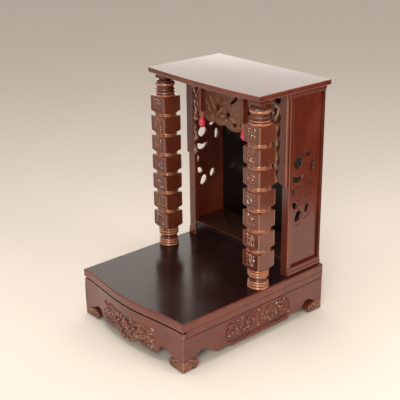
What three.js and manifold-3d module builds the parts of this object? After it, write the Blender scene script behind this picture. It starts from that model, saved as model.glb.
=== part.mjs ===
// Household altar cabinet: low platform on carved feet, two cut columns, shallow back niche under a bowed top board.
// Millimetres. Front is -Y, right is +X, up is +Z, floor at z = 0.
import * as THREE from 'three';
import { mergeVertices } from 'three/addons/utils/BufferGeometryUtils.js';
import Module from 'manifold-3d';

const wasm = await Module();
wasm.setup();

// ---- driving sizes
const BASE_HALF_W = 280;      // half width of the platform
const BASE_FRONT = -320;      // front corners of the platform
const BACK = 350;             // back plane of the platform and of the top board
const BOW = 24;               // how far the platform front swells at its middle
const SLAB_TOP = 182;
const SLAB_T = 30;
const FRONT_GAP = 4;          // shadow gap between slab and front apron
const RAIL_BOTTOM = 127.3;    // lower edge of the slab's side lip
const APRON_T = 19;
const APRON_TOP = 127;
const FOOT_H = 42;
const FOOT_W = 70;
const FOOT_FRONT_W = 80;
const CLEAR = 0.3;            // gap left between pieces that touch
const CENTRE_Y = -3;          // puts the middle of the whole depth on the origin

const COL_X = 245;
const COL_Y = 52;
const COL_HALF = 38.8;        // half side of the square blocks
const CUBES = 7;
const CUBE_H = 54.2;
const PITCH = 75;
const FIRST_CUBE = 266;       // underside of the lowest block

const BOARD_HALF_W = 284.5;
const BOARD_FRONT = 8;
const BOARD_BOW = 14;
const BOARD_Z0 = 855;
const BOARD_T = 20;

const CAB_HALF_W = 265;       // outer faces of the stiles
const CAB_FRONT = 176;        // front face of the stiles
const STILE_W = 32;
const STILE_T = 18;
const SIDE_T = 10;            // pierced side panels, set in from the stile faces
const PANEL_OUT = 256;        // outer face of the side panels
const BACK_T = 10;
const BACK_PANEL_Y = 336;     // front face of the back panel
const NICHE_FLOOR = 247;
const FRET_T = 14;            // fretwork board
const FRET_FRONT = CAB_FRONT - FRET_T;
const CAB_TOP = BOARD_Z0 - CLEAR;

const LAMP_X = 109;
const LAMP_Y = 110;

// ---- finish
const WOOD = 0x5b2a1b, DARK = 0x2c1411, CARVED = 0x6e3a28;
const mat = (color, roughness = 0.35, metalness = 0) => new THREE.MeshStandardMaterial({ color, roughness, metalness });

// ---- helpers
const toManifold = (g) => {
  const c = g.clone();
  for (const k of Object.keys(c.attributes)) if (k !== 'position') c.deleteAttribute(k);
  const m = mergeVertices(c, 1e-4);
  return new wasm.Manifold(new wasm.Mesh({
    numProp: 3,
    vertProperties: new Float32Array(m.attributes.position.array),
    triVerts: new Uint32Array(m.index.array),
  }));
};
const toGeometry = (m) => {
  const mesh = m.getMesh();
  const n = mesh.numProp, v = mesh.vertProperties, out = new Float32Array(v.length / n * 3);
  for (let i = 0; i < v.length / n; i++) for (let k = 0; k < 3; k++) out[3 * i + k] = v[n * i + k];
  const g = new THREE.BufferGeometry();
  g.setAttribute('position', new THREE.BufferAttribute(out, 3));
  g.setIndex(new THREE.BufferAttribute(new Uint32Array(mesh.triVerts), 1));
  return g;
};
const geometryOf = (positions, indices) => {
  const g = new THREE.BufferGeometry();
  g.setAttribute('position', new THREE.Float32BufferAttribute(positions.flat(), 3));
  g.setIndex(indices);
  return g;
};
const box = (x0, x1, y0, y1, z0, z1) => {
  const g = new THREE.BoxGeometry(x1 - x0, y1 - y0, z1 - z0);
  g.translate((x0 + x1) / 2, (y0 + y1) / 2, (z0 + z1) / 2);
  return g;
};
// Loft between closed outlines of equal point count, each [x, y, z], counter-clockwise from above, bottom first.
const loft = (rings) => {
  const n = rings[0].length, pos = [], idx = [];
  for (const r of rings) for (const p of r) pos.push(p);
  for (let k = 0; k + 1 < rings.length; k++)
    for (let i = 0; i < n; i++) {
      const j = (i + 1) % n, a = k * n + i, b = k * n + j, c = a + n, d = b + n;
      idx.push(a, b, d, a, d, c);
    }
  const flat = rings[0].map((p) => new THREE.Vector2(p[0], p[1]));
  const tris = THREE.ShapeUtils.triangulateShape(flat, []);
  const top = (rings.length - 1) * n;
  for (const [a, b, c] of tris) {
    idx.push(c, b, a);
    idx.push(top + a, top + b, top + c);
  }
  return geometryOf(pos, idx);
};
// A closed outline in two axes pushed through a thickness: plane 'xz' runs from y0 to y1, plane 'yz' from x0 to x1.
const plate = (outline, holes, plane, a0, a1) => {
  const shape = new THREE.Shape(outline.map(([u, v]) => new THREE.Vector2(u, v)));
  for (const h of holes) shape.holes.push(new THREE.Path(h.map(([u, v]) => new THREE.Vector2(u, v))));
  const g = new THREE.ExtrudeGeometry(shape, { depth: a1 - a0, bevelEnabled: false, steps: 1 });
  const m = new THREE.Matrix4();
  if (plane === 'xz') m.set(1, 0, 0, 0, 0, 0, -1, a1, 0, 1, 0, 0, 0, 0, 0, 1);
  else m.set(0, 0, 1, a0, 1, 0, 0, 0, 0, 1, 0, 0, 0, 0, 0, 1);
  g.applyMatrix4(m);
  return g;
};
const smooth = (points, per = 4) => {
  const c = new THREE.CatmullRomCurve3(points.map(([u, v]) => new THREE.Vector3(u, v, 0)), true, 'centripetal');
  return c.getPoints(points.length * per).slice(0, -1).map((p) => [p.x, p.y]);
};
const lerpTable = (table, t) => {
  if (t <= table[0][0]) return table[0][1];
  for (let i = 1; i < table.length; i++)
    if (t <= table[i][0]) {
      const [a, va] = table[i - 1], [b, vb] = table[i];
      return va + (vb - va) * (t - a) / (b - a);
    }
  return table[table.length - 1][1];
};
const mirrorX = (g) => toGeometry(toManifold(g).mirror([1, 0, 0]));

const group = new THREE.Group();
group.name = 'household_altar_cabinet';
const add = (name, geometry, material) => {
  const g = mergeVertices((() => {
    const c = geometry.clone();
    for (const k of Object.keys(c.attributes)) if (k !== 'position') c.deleteAttribute(k);
    c.translate(0, CENTRE_Y, 0);
    return c;
  })(), 1e-4);
  g.computeVertexNormals();
  const mesh = new THREE.Mesh(g, material);
  mesh.name = name;
  group.add(mesh);
};

// ---- platform slab: bowed front edge, rounded arris, a deeper lip down each side
const bow = (x) => BOW * (1 + Math.cos(Math.PI * x / BASE_HALF_W)) / 2;
const slabOutline = (inset, z) => {
  const pts = [];
  const half = BASE_HALF_W - inset;
  for (let i = 0; i <= 36; i++) {
    const x = -half + 2 * half * i / 36;
    pts.push([x, BASE_FRONT - bow(x) + inset, z]);
  }
  pts.push([half, BACK, z], [-half, BACK, z]);
  return pts;
};
const slabZ0 = SLAB_TOP - SLAB_T;
const slab = toManifold(loft([
  slabOutline(2.5, slabZ0), slabOutline(0, slabZ0 + 3), slabOutline(0, SLAB_TOP - 6), slabOutline(1.8, SLAB_TOP - 2), slabOutline(5, SLAB_TOP),
]));
const lip = (x0, x1) => toManifold(box(x0, x1, BASE_FRONT + APRON_T + CLEAR, BACK, RAIL_BOTTOM, SLAB_TOP - 8));
add('platform_slab', toGeometry(slab.add(lip(BASE_HALF_W - 18, BASE_HALF_W)).add(lip(-BASE_HALF_W, -BASE_HALF_W + 18))), mat(DARK, 0.22));

// ---- front apron: bowed board, scalloped lower edge, a leg at each end, mitred below the slab lip
const FRONT_EDGE = [[0, 22], [16, 20], [35, 26], [50, 33], [65, 36], [80, 29], [95, 28], [110, 30], [124, 24], [143, 25], [155, 32], [164, 50], [172, 59],
  [185, 63], [196, 61], [212, 52], [231, 43.5], [238, FOOT_H + CLEAR], [280, FOOT_H + CLEAR]];
const apronZ1 = slabZ0 - FRONT_GAP;
{
  const xs = [];
  for (const [t] of FRONT_EDGE) xs.push(t);
  for (let t = 8; t < 280; t += 12) if (!xs.some((u) => Math.abs(u - t) < 5)) xs.push(t);
  xs.sort((a, b) => a - b);
  const stations = [...xs.slice(1).reverse().map((t) => -t), ...xs];
  const pos = [], idx = [];
  for (const x of stations) {
    const t = Math.abs(x), z = lerpTable(FRONT_EDGE, t), yf = BASE_FRONT - bow(x) + 0.6;
    const back = Math.min(t, BASE_HALF_W - APRON_T) * Math.sign(x || 1);
    const yb = BASE_FRONT - bow(back) + APRON_T;
    const xb = t > BASE_HALF_W - APRON_T ? (BASE_HALF_W - APRON_T) * Math.sign(x) + (t - (BASE_HALF_W - APRON_T)) * 0.02 * Math.sign(x) : x;
    pos.push([x, yf, z], [x, yf, apronZ1], [xb, yb, apronZ1], [xb, yb, z]);
  }
  const n = stations.length;
  for (let i = 0; i + 1 < n; i++)
    for (let k = 0; k < 4; k++) {
      const a = 4 * i + k, b = 4 * i + (k + 1) % 4, c = a + 4, d = b + 4;
      idx.push(a, c, d, a, d, b);
    }
  idx.push(0, 1, 2, 0, 2, 3);
  const e = 4 * (n - 1);
  idx.push(e, e + 2, e + 1, e, e + 3, e + 2);
  let m = toManifold(geometryOf(pos, idx));
  const end = plate([[BASE_FRONT + 0.6, RAIL_BOTTOM], [BASE_FRONT + APRON_T, RAIL_BOTTOM], [BASE_FRONT + APRON_T, apronZ1 - 6],
    [BASE_FRONT + APRON_T - 5, apronZ1 - 0.2], [BASE_FRONT + 5, apronZ1 - 0.2], [BASE_FRONT + 0.8, apronZ1 - 4]], [], 'yz', BASE_HALF_W - APRON_T - 6, BASE_HALF_W);
  m = m.add(toManifold(end)).add(toManifold(mirrorX(end)));
  add('front_apron', toGeometry(m), mat(WOOD, 0.35));
}

// ---- side aprons: shaped lower edge between the legs, with the blank of the long cartouche standing slightly proud
const SIDE_EDGE = [[0, FOOT_H + CLEAR], [36, FOOT_H + CLEAR], [56, 46], [70, 54], [80, 62], [90, 62], [99, 58], [118, 46], [137, 34], [149, 25], [165, 25], [179, 27], [191, 32], [203, 28], [212, 21],
  [489, 20], [495, 26], [503, 35], [512, 32], [546, 29], [564, 41], [580, 57], [592, 61], [606, 57], [622, 48], [636, FOOT_H + CLEAR], [670, FOOT_H + CLEAR]];
const sideApron = () => {
  const lower = SIDE_EDGE.map(([t, z]) => [BASE_FRONT + t, z]);
  const outline = [...lower, [BACK, APRON_TOP], [BASE_FRONT, APRON_TOP]];
  outline[0] = [BASE_FRONT + 0.9, outline[0][1]];
  outline[outline.length - 1] = [BASE_FRONT + 0.9, APRON_TOP];
  let m = toManifold(plate(outline, [], 'yz', BASE_HALF_W - APRON_T, BASE_HALF_W));
  // mitre at the front corner
  const w = 60;
  const cut = loft([0, 200].map((z) => [[BASE_HALF_W + 1, BASE_FRONT - w, z], [BASE_HALF_W + 1, BASE_FRONT - 1 + 0.9, z], [BASE_HALF_W - w, BASE_FRONT + w + 0.9, z], [BASE_HALF_W - w - 10, BASE_FRONT - w, z]]));
  m = m.subtract(toManifold(cut));
  return toGeometry(m);
};
{
  const g = sideApron();
  add('side_apron_right', g, mat(WOOD, 0.35));
  add('side_apron_left', mirrorX(g), mat(WOOD, 0.35));
}
add('back_apron', box(-(BASE_HALF_W - APRON_T) + CLEAR, BASE_HALF_W - APRON_T - CLEAR, BACK - 18.5, BACK - 0.5, 60, slabZ0 - CLEAR), mat(WOOD, 0.5));

// ---- feet: corner blocks with a scroll-toed outline on both outer faces
const FOOT = [[0.4, 0], [56, 0], [64, 4], [FOOT_W - 1, 12], [FOOT_W, 21], [66, 30], [58, 37], [47, FOOT_H - 0.6], [38, FOOT_H], [0.4, FOOT_H]];
// the toe reaches further along the front than along the side
const FOOT_FRONT = [[0.4, 0], [66, 0], [74, 4], [FOOT_FRONT_W - 1, 11], [FOOT_FRONT_W, 19], [75, 27], [66, 33], [54, 38.5], [44, FOOT_H - 0.6], [36, FOOT_H], [0.4, FOOT_H]];
const foot = (sx, sy) => {
  const yz = plate(FOOT.map(([t, z]) => [t, z]), [], 'yz', 0, FOOT_FRONT_W + 2);
  const xz = plate(FOOT_FRONT.map(([t, z]) => [-t, z]).reverse(), [], 'xz', 0, FOOT_W + 2);
  yz.translate(-(FOOT_FRONT_W + 2), 0, 0);
  let m = toManifold(yz).intersect(toManifold(xz));
  m = m.translate([BASE_HALF_W, BASE_FRONT, 0]);
  if (sy > 0) m = m.translate([0, -(BASE_FRONT + BACK) / 2, 0]).mirror([0, 1, 0]).translate([0, (BASE_FRONT + BACK) / 2, 0]);
  if (sx < 0) m = m.mirror([1, 0, 0]);
  return toGeometry(m);
};
add('foot_front_right', foot(1, -1), mat(CARVED, 0.35));
add('foot_front_left', foot(-1, -1), mat(CARVED, 0.35));
add('foot_rear_right', foot(1, 1), mat(CARVED, 0.35));
add('foot_rear_left', foot(-1, 1), mat(CARVED, 0.35));

// ---- columns: a square post turned down between seven blocks, beaded neck and foot, ball and plate on top
const columnProfile = () => {
  const p = [[0, SLAB_TOP + CLEAR], [36, SLAB_TOP + CLEAR], [37.8, 188], [37.2, 193], [33.5, 197.5], [37.2, 203], [36.6, 209], [32, 214], [30.2, 220],
    [37, 232], [34, 238.5], [38, 245], [36.5, 251.5], [38.5, 257], [56, FIRST_CUBE]];
  for (let i = 0; i < CUBES; i++) {
    const t = FIRST_CUBE + PITCH * i + CUBE_H;
    p.push([56, t]);
    if (i < CUBES - 1) p.push([39.2, t + 4.2], [36.6, t + 7.6], [40.4, t + 11.8], [40, t + 14.8], [56, t + PITCH - CUBE_H]);
  }
  const t = FIRST_CUBE + PITCH * (CUBES - 1) + CUBE_H;
  p.push([36.5, t + 5], [35.6, t + 8.6], [32.5, t + 10.5], [35.6, t + 14.5], [31, t + 20], [34.4, t + 24], [34, t + 29.5], [31.5, t + 32],
    [35.2, t + 37], [36.4, t + 45], [34.6, t + 54], [29, t + 60.5], [23, t + 63.5], [0, t + 63.5]);
  return p;
};
const column = () => {
  const lathe = new THREE.LatheGeometry(columnProfile().map(([r, z]) => new THREE.Vector2(r, z)), 16);
  lathe.rotateX(Math.PI / 2);
  let m = toManifold(lathe);
  if (m.volume() < 0) throw new Error('column inside out');
  m = m.intersect(toManifold(box(-COL_HALF, COL_HALF, -COL_HALF, COL_HALF, SLAB_TOP, 900)));
  const capital = loft([[19, 833], [24.5, 838], [24.5, 846], [22, 849], [25.5, 851.5], [25.5, CAB_TOP]].map(([h, z]) => [[-h, -h, z], [h, -h, z], [h, h, z], [-h, h, z]]));
  return m.add(toManifold(capital));
};
{
  const m = column();
  add('column_right', toGeometry(m.translate([COL_X, COL_Y, 0])), mat(CARVED, 0.3));
  add('column_left', toGeometry(m.mirror([1, 0, 0]).translate([-COL_X, COL_Y, 0])), mat(CARVED, 0.3));
}

// ---- top board: bowed front edge, rounded arrises
const boardOutline = (inset, z) => {
  const pts = [], half = BOARD_HALF_W - inset;
  for (let i = 0; i <= 24; i++) {
    const x = -half + 2 * half * i / 24;
    pts.push([x, BOARD_FRONT - BOARD_BOW * (1 - (x / half) ** 2) + inset, z]);
  }
  pts.push([half, BACK, z], [-half, BACK, z]);
  return pts;
};
add('top_board', loft([boardOutline(7, BOARD_Z0), boardOutline(2, BOARD_Z0 + 2.5), boardOutline(0, BOARD_Z0 + 7), boardOutline(0, BOARD_Z0 + BOARD_T - 2.5), boardOutline(2, BOARD_Z0 + BOARD_T)]), mat(WOOD, 0.2));

// ---- niche: stiles, pierced sides, back panel, raised floor and its riser
const inner = CAB_HALF_W - STILE_W;
for (const [side, s] of [['right', 1], ['left', -1]]) {
  const g = box(inner, CAB_HALF_W, CAB_FRONT, CAB_FRONT + STILE_T - CLEAR, SLAB_TOP + CLEAR, CAB_TOP);
  add('stile_' + side, s > 0 ? g : mirrorX(g), mat(WOOD, 0.35));
}
// Openings of the side carving, in (y, z) measured from the platform's front corner line.
const HOLES = [
  [[536, 584], [548, 592], [554, 602], [548, 613], [537, 619], [525, 612], [519, 600], [524, 590]],
  [[509, 555], [513, 543], [524, 535], [538, 535], [550, 541], [558, 556], [549, 552], [534, 550], [520, 554]],
  [[504.5, 505], [508, 489], [515, 486], [519, 494], [514, 508]],
  [[509, 456], [514, 444], [524, 437], [534, 440], [530, 450], [520, 457]],
  [[525, 392], [538, 388], [552, 396], [556, 408], [549, 420], [538, 420], [529, 408]],
  [[575, 414], [585, 411], [595, 421], [594, 435], [584, 437], [577, 427]],
  [[602, 566], [610, 562], [616, 576], [613, 594], [605, 597], [601, 582]],
  [[575, 622], [586, 620], [598, 625], [590, 629], [579, 628]],
];
const sidePanel = () => {
  const y0 = CAB_FRONT + STILE_T, y1 = BACK_PANEL_Y - CLEAR;
  const outline = [[y0, SLAB_TOP + CLEAR], [y1, SLAB_TOP + CLEAR], [y1, CAB_TOP], [y0, CAB_TOP]];
  const holes = HOLES.map((h) => smooth(h.map(([y, z]) => [y + 14 + BASE_FRONT, z - 6.5]), 2));
  return plate(outline, holes, 'yz', PANEL_OUT - SIDE_T, PANEL_OUT);
};
{
  const g = toGeometry(toManifold(sidePanel()));
  add('side_panel_right', g, mat(WOOD, 0.35));
  add('side_panel_left', mirrorX(g), mat(WOOD, 0.35));
}
add('back_panel', box(-CAB_HALF_W, CAB_HALF_W, BACK_PANEL_Y, BACK_PANEL_Y + BACK_T, SLAB_TOP + CLEAR, CAB_TOP), mat(DARK, 0.5));
const nicheHalf = PANEL_OUT - SIDE_T - CLEAR;
add('niche_floor', toGeometry(toManifold(box(-nicheHalf, nicheHalf, CAB_FRONT + 0.5, BACK_PANEL_Y - CLEAR, NICHE_FLOOR - 14, NICHE_FLOOR))
  .subtract(toManifold(box(inner - CLEAR, 300, CAB_FRONT - 5, CAB_FRONT + STILE_T, 0, 400)))
  .subtract(toManifold(box(-300, -inner + CLEAR, CAB_FRONT - 5, CAB_FRONT + STILE_T, 0, 400)))), mat(DARK, 0.3));
add('niche_riser', box(-inner + CLEAR, inner - CLEAR, CAB_FRONT + 5, CAB_FRONT + 17, SLAB_TOP + CLEAR, NICHE_FLOOR - 14 - CLEAR), mat(DARK, 0.3));

// ---- mouldings at the foot and head of the niche sides
const filler = (z0, z1) => toManifold(box(PANEL_OUT + CLEAR, CAB_HALF_W + CLEAR + 0.2, CAB_FRONT + STILE_T + CLEAR, BACK_PANEL_Y - CLEAR, z0, z1));
const skirt = toGeometry(toManifold(plate([[CAB_HALF_W + CLEAR, SLAB_TOP + CLEAR], [269, SLAB_TOP + CLEAR], [269, 194], [268.4, 197], [267.4, 198.4], [267.4, 207], [267, 210], [266.2, 212], [CAB_HALF_W + CLEAR, 212.4]],
  [], 'xz', CAB_FRONT - 1, BACK_PANEL_Y + BACK_T)).add(filler(SLAB_TOP + CLEAR, 206)));
add('skirting_right', skirt, mat(WOOD, 0.35));
add('skirting_left', mirrorX(skirt), mat(WOOD, 0.35));
const cornice = toGeometry(toManifold(plate([[CAB_HALF_W + CLEAR, 833], [266.8, 833], [267.4, 835.4], [267.4, 838.6], [269, 840], [269.8, 843], [269.8, 847], [271.4, 848.6], [272, 851], [272, CAB_TOP], [CAB_HALF_W + CLEAR, CAB_TOP]],
  [], 'xz', FRET_FRONT, BACK_PANEL_Y + BACK_T - 1)).add(filler(836, CAB_TOP)));
add('cornice_right', cornice, mat(WOOD, 0.35));
add('cornice_left', mirrorX(cornice), mat(WOOD, 0.35));

// ---- fretwork: valance and two drop brackets planted on the stile faces
const fretY0 = FRET_FRONT, fretY1 = CAB_FRONT - CLEAR;
const bracketOutline = [[259, CAB_TOP], [172, CAB_TOP], [172, 800], [176, 788], [186, 782], [188, 770], [182, 760], [184, 748], [194, 744], [198, 732], [192, 720], [194, 706], [202, 700],
  [206, 688], [201, 676], [202, 664], [211, 660], [215, 648], [211, 632], [212, 616], [206, 604], [203, 592], [208, 582], [217, 578], [219, 564], [213, 552], [208, 540], [206, 530], [214, 526.5], [226, 530], [244, 525], [259, 524]];
const bracketHoles = [
  [[198, 828], [214, 834], [224, 826], [220, 812], [206, 808], [196, 816]],
  [[200, 792], [208, 798], [214, 788], [209, 774], [200, 768], [196, 780]],
  [[216, 768], [222, 776], [226, 764], [222, 748], [216, 744], [213, 756]],
  [[204, 748], [209, 756], [212, 742], [209, 726], [204, 720], [201, 734]],
  [[217, 724], [222, 732], [225, 718], [222, 700], [217, 694], [214, 710]],
  [[218, 676], [222, 684], [225, 670], [222, 652], [219, 646], [217, 660]],
  [[219, 622], [222, 630], [225, 616], [223, 598], [220, 594], [218, 608]],
];
{
  const holes = bracketHoles.map((h) => smooth(h, 2));
  const g = toGeometry(toManifold(plate(bracketOutline, holes, 'xz', fretY0, fretY1)));
  add('bracket_right', g, mat(CARVED, 0.35));
  add('bracket_left', mirrorX(g), mat(CARVED, 0.35));
}
const LOBES = [[0, 662], [20, 664], [36, 671], [48, 676], [60, 672], [75, 669], [92, 673], [104, 679], [118, 672], [134, 672], [150, 678], [160, 690], [171.7, 706]];
const valanceOutline = [...[...LOBES].reverse().map(([x, z]) => [-x, z]), ...LOBES.slice(1), [171.7, CAB_TOP], [-171.7, CAB_TOP]];
const valanceHoles = [
  [[-24, 764], [-16, 760], [2, 772], [16, 786], [14, 793], [4, 788], [-10, 776]],
  [[-46, 712], [-38, 704], [-26, 708], [-22, 720], [-30, 728], [-40, 724]],
  [[28, 690], [36, 684], [44, 694], [44, 716], [36, 722], [30, 708]],
  [[66, 742], [74, 738], [80, 750], [76, 762], [68, 758]],
  [[-98, 726], [-88, 722], [-80, 734], [-84, 748], [-94, 746]],
  [[96, 704], [106, 700], [114, 712], [110, 726], [100, 722]],
  [[-146, 716], [-138, 712], [-132, 724], [-136, 738], [-144, 732]],
  [[132, 716], [140, 712], [148, 724], [144, 738], [134, 732]],
  [[-8, 684], [2, 680], [12, 686], [8, 694], [-4, 694]],
];
add('valance', toGeometry(toManifold(plate(valanceOutline, valanceHoles.map((h) => smooth(h, 2)), 'xz', fretY0, fretY1))), mat(CARVED, 0.35));

// ---- lamps: square hanging post, socket, egg bulb
for (const [side, s] of [['right', 1], ['left', -1]]) {
  const post = box(s * LAMP_X - 8, s * LAMP_X + 8, LAMP_Y - 14, LAMP_Y + 9, 729, CAB_TOP);
  add('lamp_post_' + side, post, mat(WOOD, 0.35));
  const socket = new THREE.LatheGeometry([[0, 709], [9, 709], [11, 712], [11, 716], [9.6, 718], [9.6, 726], [11, 728.7], [0, 728.7]].map(([r, z]) => new THREE.Vector2(r, z)), 14);
  socket.rotateX(Math.PI / 2);
  socket.translate(s * LAMP_X, LAMP_Y, 0);
  add('lamp_socket_' + side, toGeometry(toManifold(socket)), mat(0x9a4632, 0.4));
  const bulb = new THREE.LatheGeometry([[0, 667], [3.8, 668], [7.2, 671.5], [9.8, 677], [11.4, 683.5], [11.9, 690], [11.3, 697], [9.4, 703], [6.8, 708.6], [0, 708.6]].map(([r, z]) => new THREE.Vector2(r, z)), 14);
  bulb.rotateX(Math.PI / 2);
  bulb.translate(s * LAMP_X, LAMP_Y, 0);
  add('lamp_bulb_' + side, toGeometry(toManifold(bulb)), mat(0xc81f35, 0.15));
}

export default group;
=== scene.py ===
import bpy, math
import numpy as np
from mathutils import Matrix, Vector


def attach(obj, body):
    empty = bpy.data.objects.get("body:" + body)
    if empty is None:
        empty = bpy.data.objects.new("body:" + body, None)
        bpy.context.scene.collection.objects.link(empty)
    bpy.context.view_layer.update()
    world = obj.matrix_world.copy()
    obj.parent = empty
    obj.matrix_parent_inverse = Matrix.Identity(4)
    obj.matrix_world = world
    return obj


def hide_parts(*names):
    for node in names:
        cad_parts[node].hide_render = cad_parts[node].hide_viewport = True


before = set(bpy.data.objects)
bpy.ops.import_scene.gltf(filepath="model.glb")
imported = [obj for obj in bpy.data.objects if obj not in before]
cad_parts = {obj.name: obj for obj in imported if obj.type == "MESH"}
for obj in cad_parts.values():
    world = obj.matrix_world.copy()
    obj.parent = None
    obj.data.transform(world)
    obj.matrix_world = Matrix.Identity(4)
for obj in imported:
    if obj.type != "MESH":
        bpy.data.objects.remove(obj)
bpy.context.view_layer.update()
MM = 0.001


# ------------------------------------------------------------------ mesh making
def make(name, verts, faces, node, slot, mat, wear_and_painted_light=None, smooth=35.0, shade_tone=None, flat=None):
    """verts in mm. First attribute, 0.5 plain: above is lighter, on ridges and arrises from rubbing and a painted
    highlight; below is darker, painted shade in recesses, cuts and joints. Second attribute, 1 = darkest: painted shade
    on undersides, inner faces, the gap under the deck, the niche back and the deck top.
    """
    me = bpy.data.meshes.new(name)
    me.from_pydata([tuple(v) for v in ((np.asarray(verts, float) + (0, -3.0, 0)) * MM)], [], [tuple(int(i) for i in f) for f in faces])
    me.validate()
    at = me.attributes.new("wear_and_painted_light", "FLOAT", "POINT")
    at.data.foreach_set("value", np.full(len(me.vertices), 0.5, np.float32) if wear_and_painted_light is None else np.asarray(wear_and_painted_light, np.float32))
    at = me.attributes.new("shade_tone", "FLOAT", "POINT")
    at.data.foreach_set("value", np.zeros(len(me.vertices), np.float32) if shade_tone is None else np.asarray(shade_tone, np.float32))
    me.shade_smooth()
    me.set_sharp_from_angle(angle=math.radians(smooth))
    me.materials.append(mat)
    if flat is not None:
        # level top faces take a darker copy of the lacquer
        me.materials.append(flat)
        for p in me.polygons:
            if p.normal.z > 0.97:
                p.material_index = 1
    ob = bpy.data.objects.new(name, me)
    bpy.context.scene.collection.objects.link(ob)
    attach(ob, "root")
    if node:
        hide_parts(*([node] if isinstance(node, str) else node))
    return ob


def mirrored(verts, faces):
    v = np.array(verts, float)
    v[:, 0] *= -1
    return v, [tuple(reversed(f)) for f in faces]


def grid(*parts):
    """grid((a, b, step), (b, c, step) ...) -> increasing positions."""
    out = []
    for a, b, step in parts:
        n = max(1, int(round((b - a) / step)))
        out.extend(list(np.linspace(a, b, n + 1)))
    out = np.unique(np.round(out, 4))
    return out


def seg_dist(U, V, pts, w=None):
    """Distance from the points to a polyline; with w, also the stroke's half width there."""
    pts = np.asarray(pts, float)
    best = np.full(U.shape, 1e9)
    at = np.zeros(U.shape)
    n = len(pts) - 1
    for k in range(n):
        ax, ay = pts[k]
        bx, by = pts[k + 1]
        dx, dy = bx - ax, by - ay
        L = dx * dx + dy * dy + 1e-12
        t = np.clip(((U - ax) * dx + (V - ay) * dy) / L, 0, 1)
        d = np.hypot(U - ax - t * dx, V - ay - t * dy)
        m = d < best
        best = np.where(m, d, best)
        at = np.where(m, (k + t) / n, at)
    return best, at


def poly_sdf(U, V, pts):
    """Signed distance to a closed outline, negative inside."""
    pts = np.asarray(pts, float)
    d, _ = seg_dist(U, V, np.vstack([pts, pts[:1]]))
    inside = np.zeros(U.shape, bool)
    x0, y0 = pts[-1]
    for x1, y1 in pts:
        hit = ((y0 > V) != (y1 > V)) & (U < (x1 - x0) * (V - y0) / (y1 - y0 + 1e-12) + x0)
        inside ^= hit
        x0, y0 = x1, y1
    return np.where(inside, -d, d)


def spline(pts, per=8, closed=False):
    """Centripetal-like Catmull-Rom through the points."""
    p = np.asarray(pts, float)
    n = len(p)
    out = []
    last = n if closed else n - 1
    for i in range(last):
        g = (lambda k: p[k % n]) if closed else (lambda k: p[min(max(k, 0), n - 1)])
        p0, p1, p2, p3 = g(i - 1), g(i), g(i + 1), g(i + 2)
        for j in range(per):
            t = j / per
            out.append(0.5 * ((2 * p1) + (p2 - p0) * t + (2 * p0 - 5 * p1 + 4 * p2 - p3) * t * t + (3 * p1 - p0 - 3 * p2 + p3) * t ** 3))
    if not closed:
        out.append(p[-1])
    return np.array(out)


def spiral(cx, cy, r0, r1, a0, turns, n=28):
    """From the outside (radius r0 at angle a0 degrees) in to r1; negative turns run clockwise."""
    t = np.linspace(0, 1, n)
    a = math.radians(a0) + t * turns * 2 * math.pi
    r = r0 + (r1 - r0) * t
    return np.stack([cx + r * np.cos(a), cy + r * np.sin(a)], 1)


def relief(U, V, strokes):
    """Rounded raised strokes: (points, half width at start, half width at end, height[, ridge groove])."""
    h = np.zeros(U.shape)
    for s in strokes:
        pts, w0, w1, top = s[:4]
        pts = np.asarray(pts, float)
        pad = max(w0, w1) + 1
        m = (U > pts[:, 0].min() - pad) & (U < pts[:, 0].max() + pad) & (V > pts[:, 1].min() - pad) & (V < pts[:, 1].max() + pad)
        if not m.any():
            continue
        d, t = seg_dist(U[m], V[m], pts)
        w = w0 + (w1 - w0) * t
        k = np.clip(1 - (d / w) ** 2, 0, 1)
        v = top * np.sqrt(k) * (0.65 + 0.35 * np.clip(w / max(w0, w1), 0, 1))
        if len(s) > 4:
            v = v - s[4] * np.exp(-(d / (0.3 * w + 0.2)) ** 2) * (k > 0)
        h[m] = np.maximum(h[m], v)
    return h


def leaf(x0, y0, x1, y1, bend, w, top):
    """A pointed leaf with a bent middle rib."""
    mx, my = (x0 + x1) / 2, (y0 + y1) / 2
    dx, dy = x1 - x0, y1 - y0
    c = (mx - dy * bend, my + dx * bend)
    t = np.linspace(0, 1, 12)[:, None]
    p = (1 - t) ** 2 * np.array([x0, y0]) + 2 * t * (1 - t) * np.array(c) + t * t * np.array([x1, y1])
    return (p, w, w * 0.25, top, top * 0.35)


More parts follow.
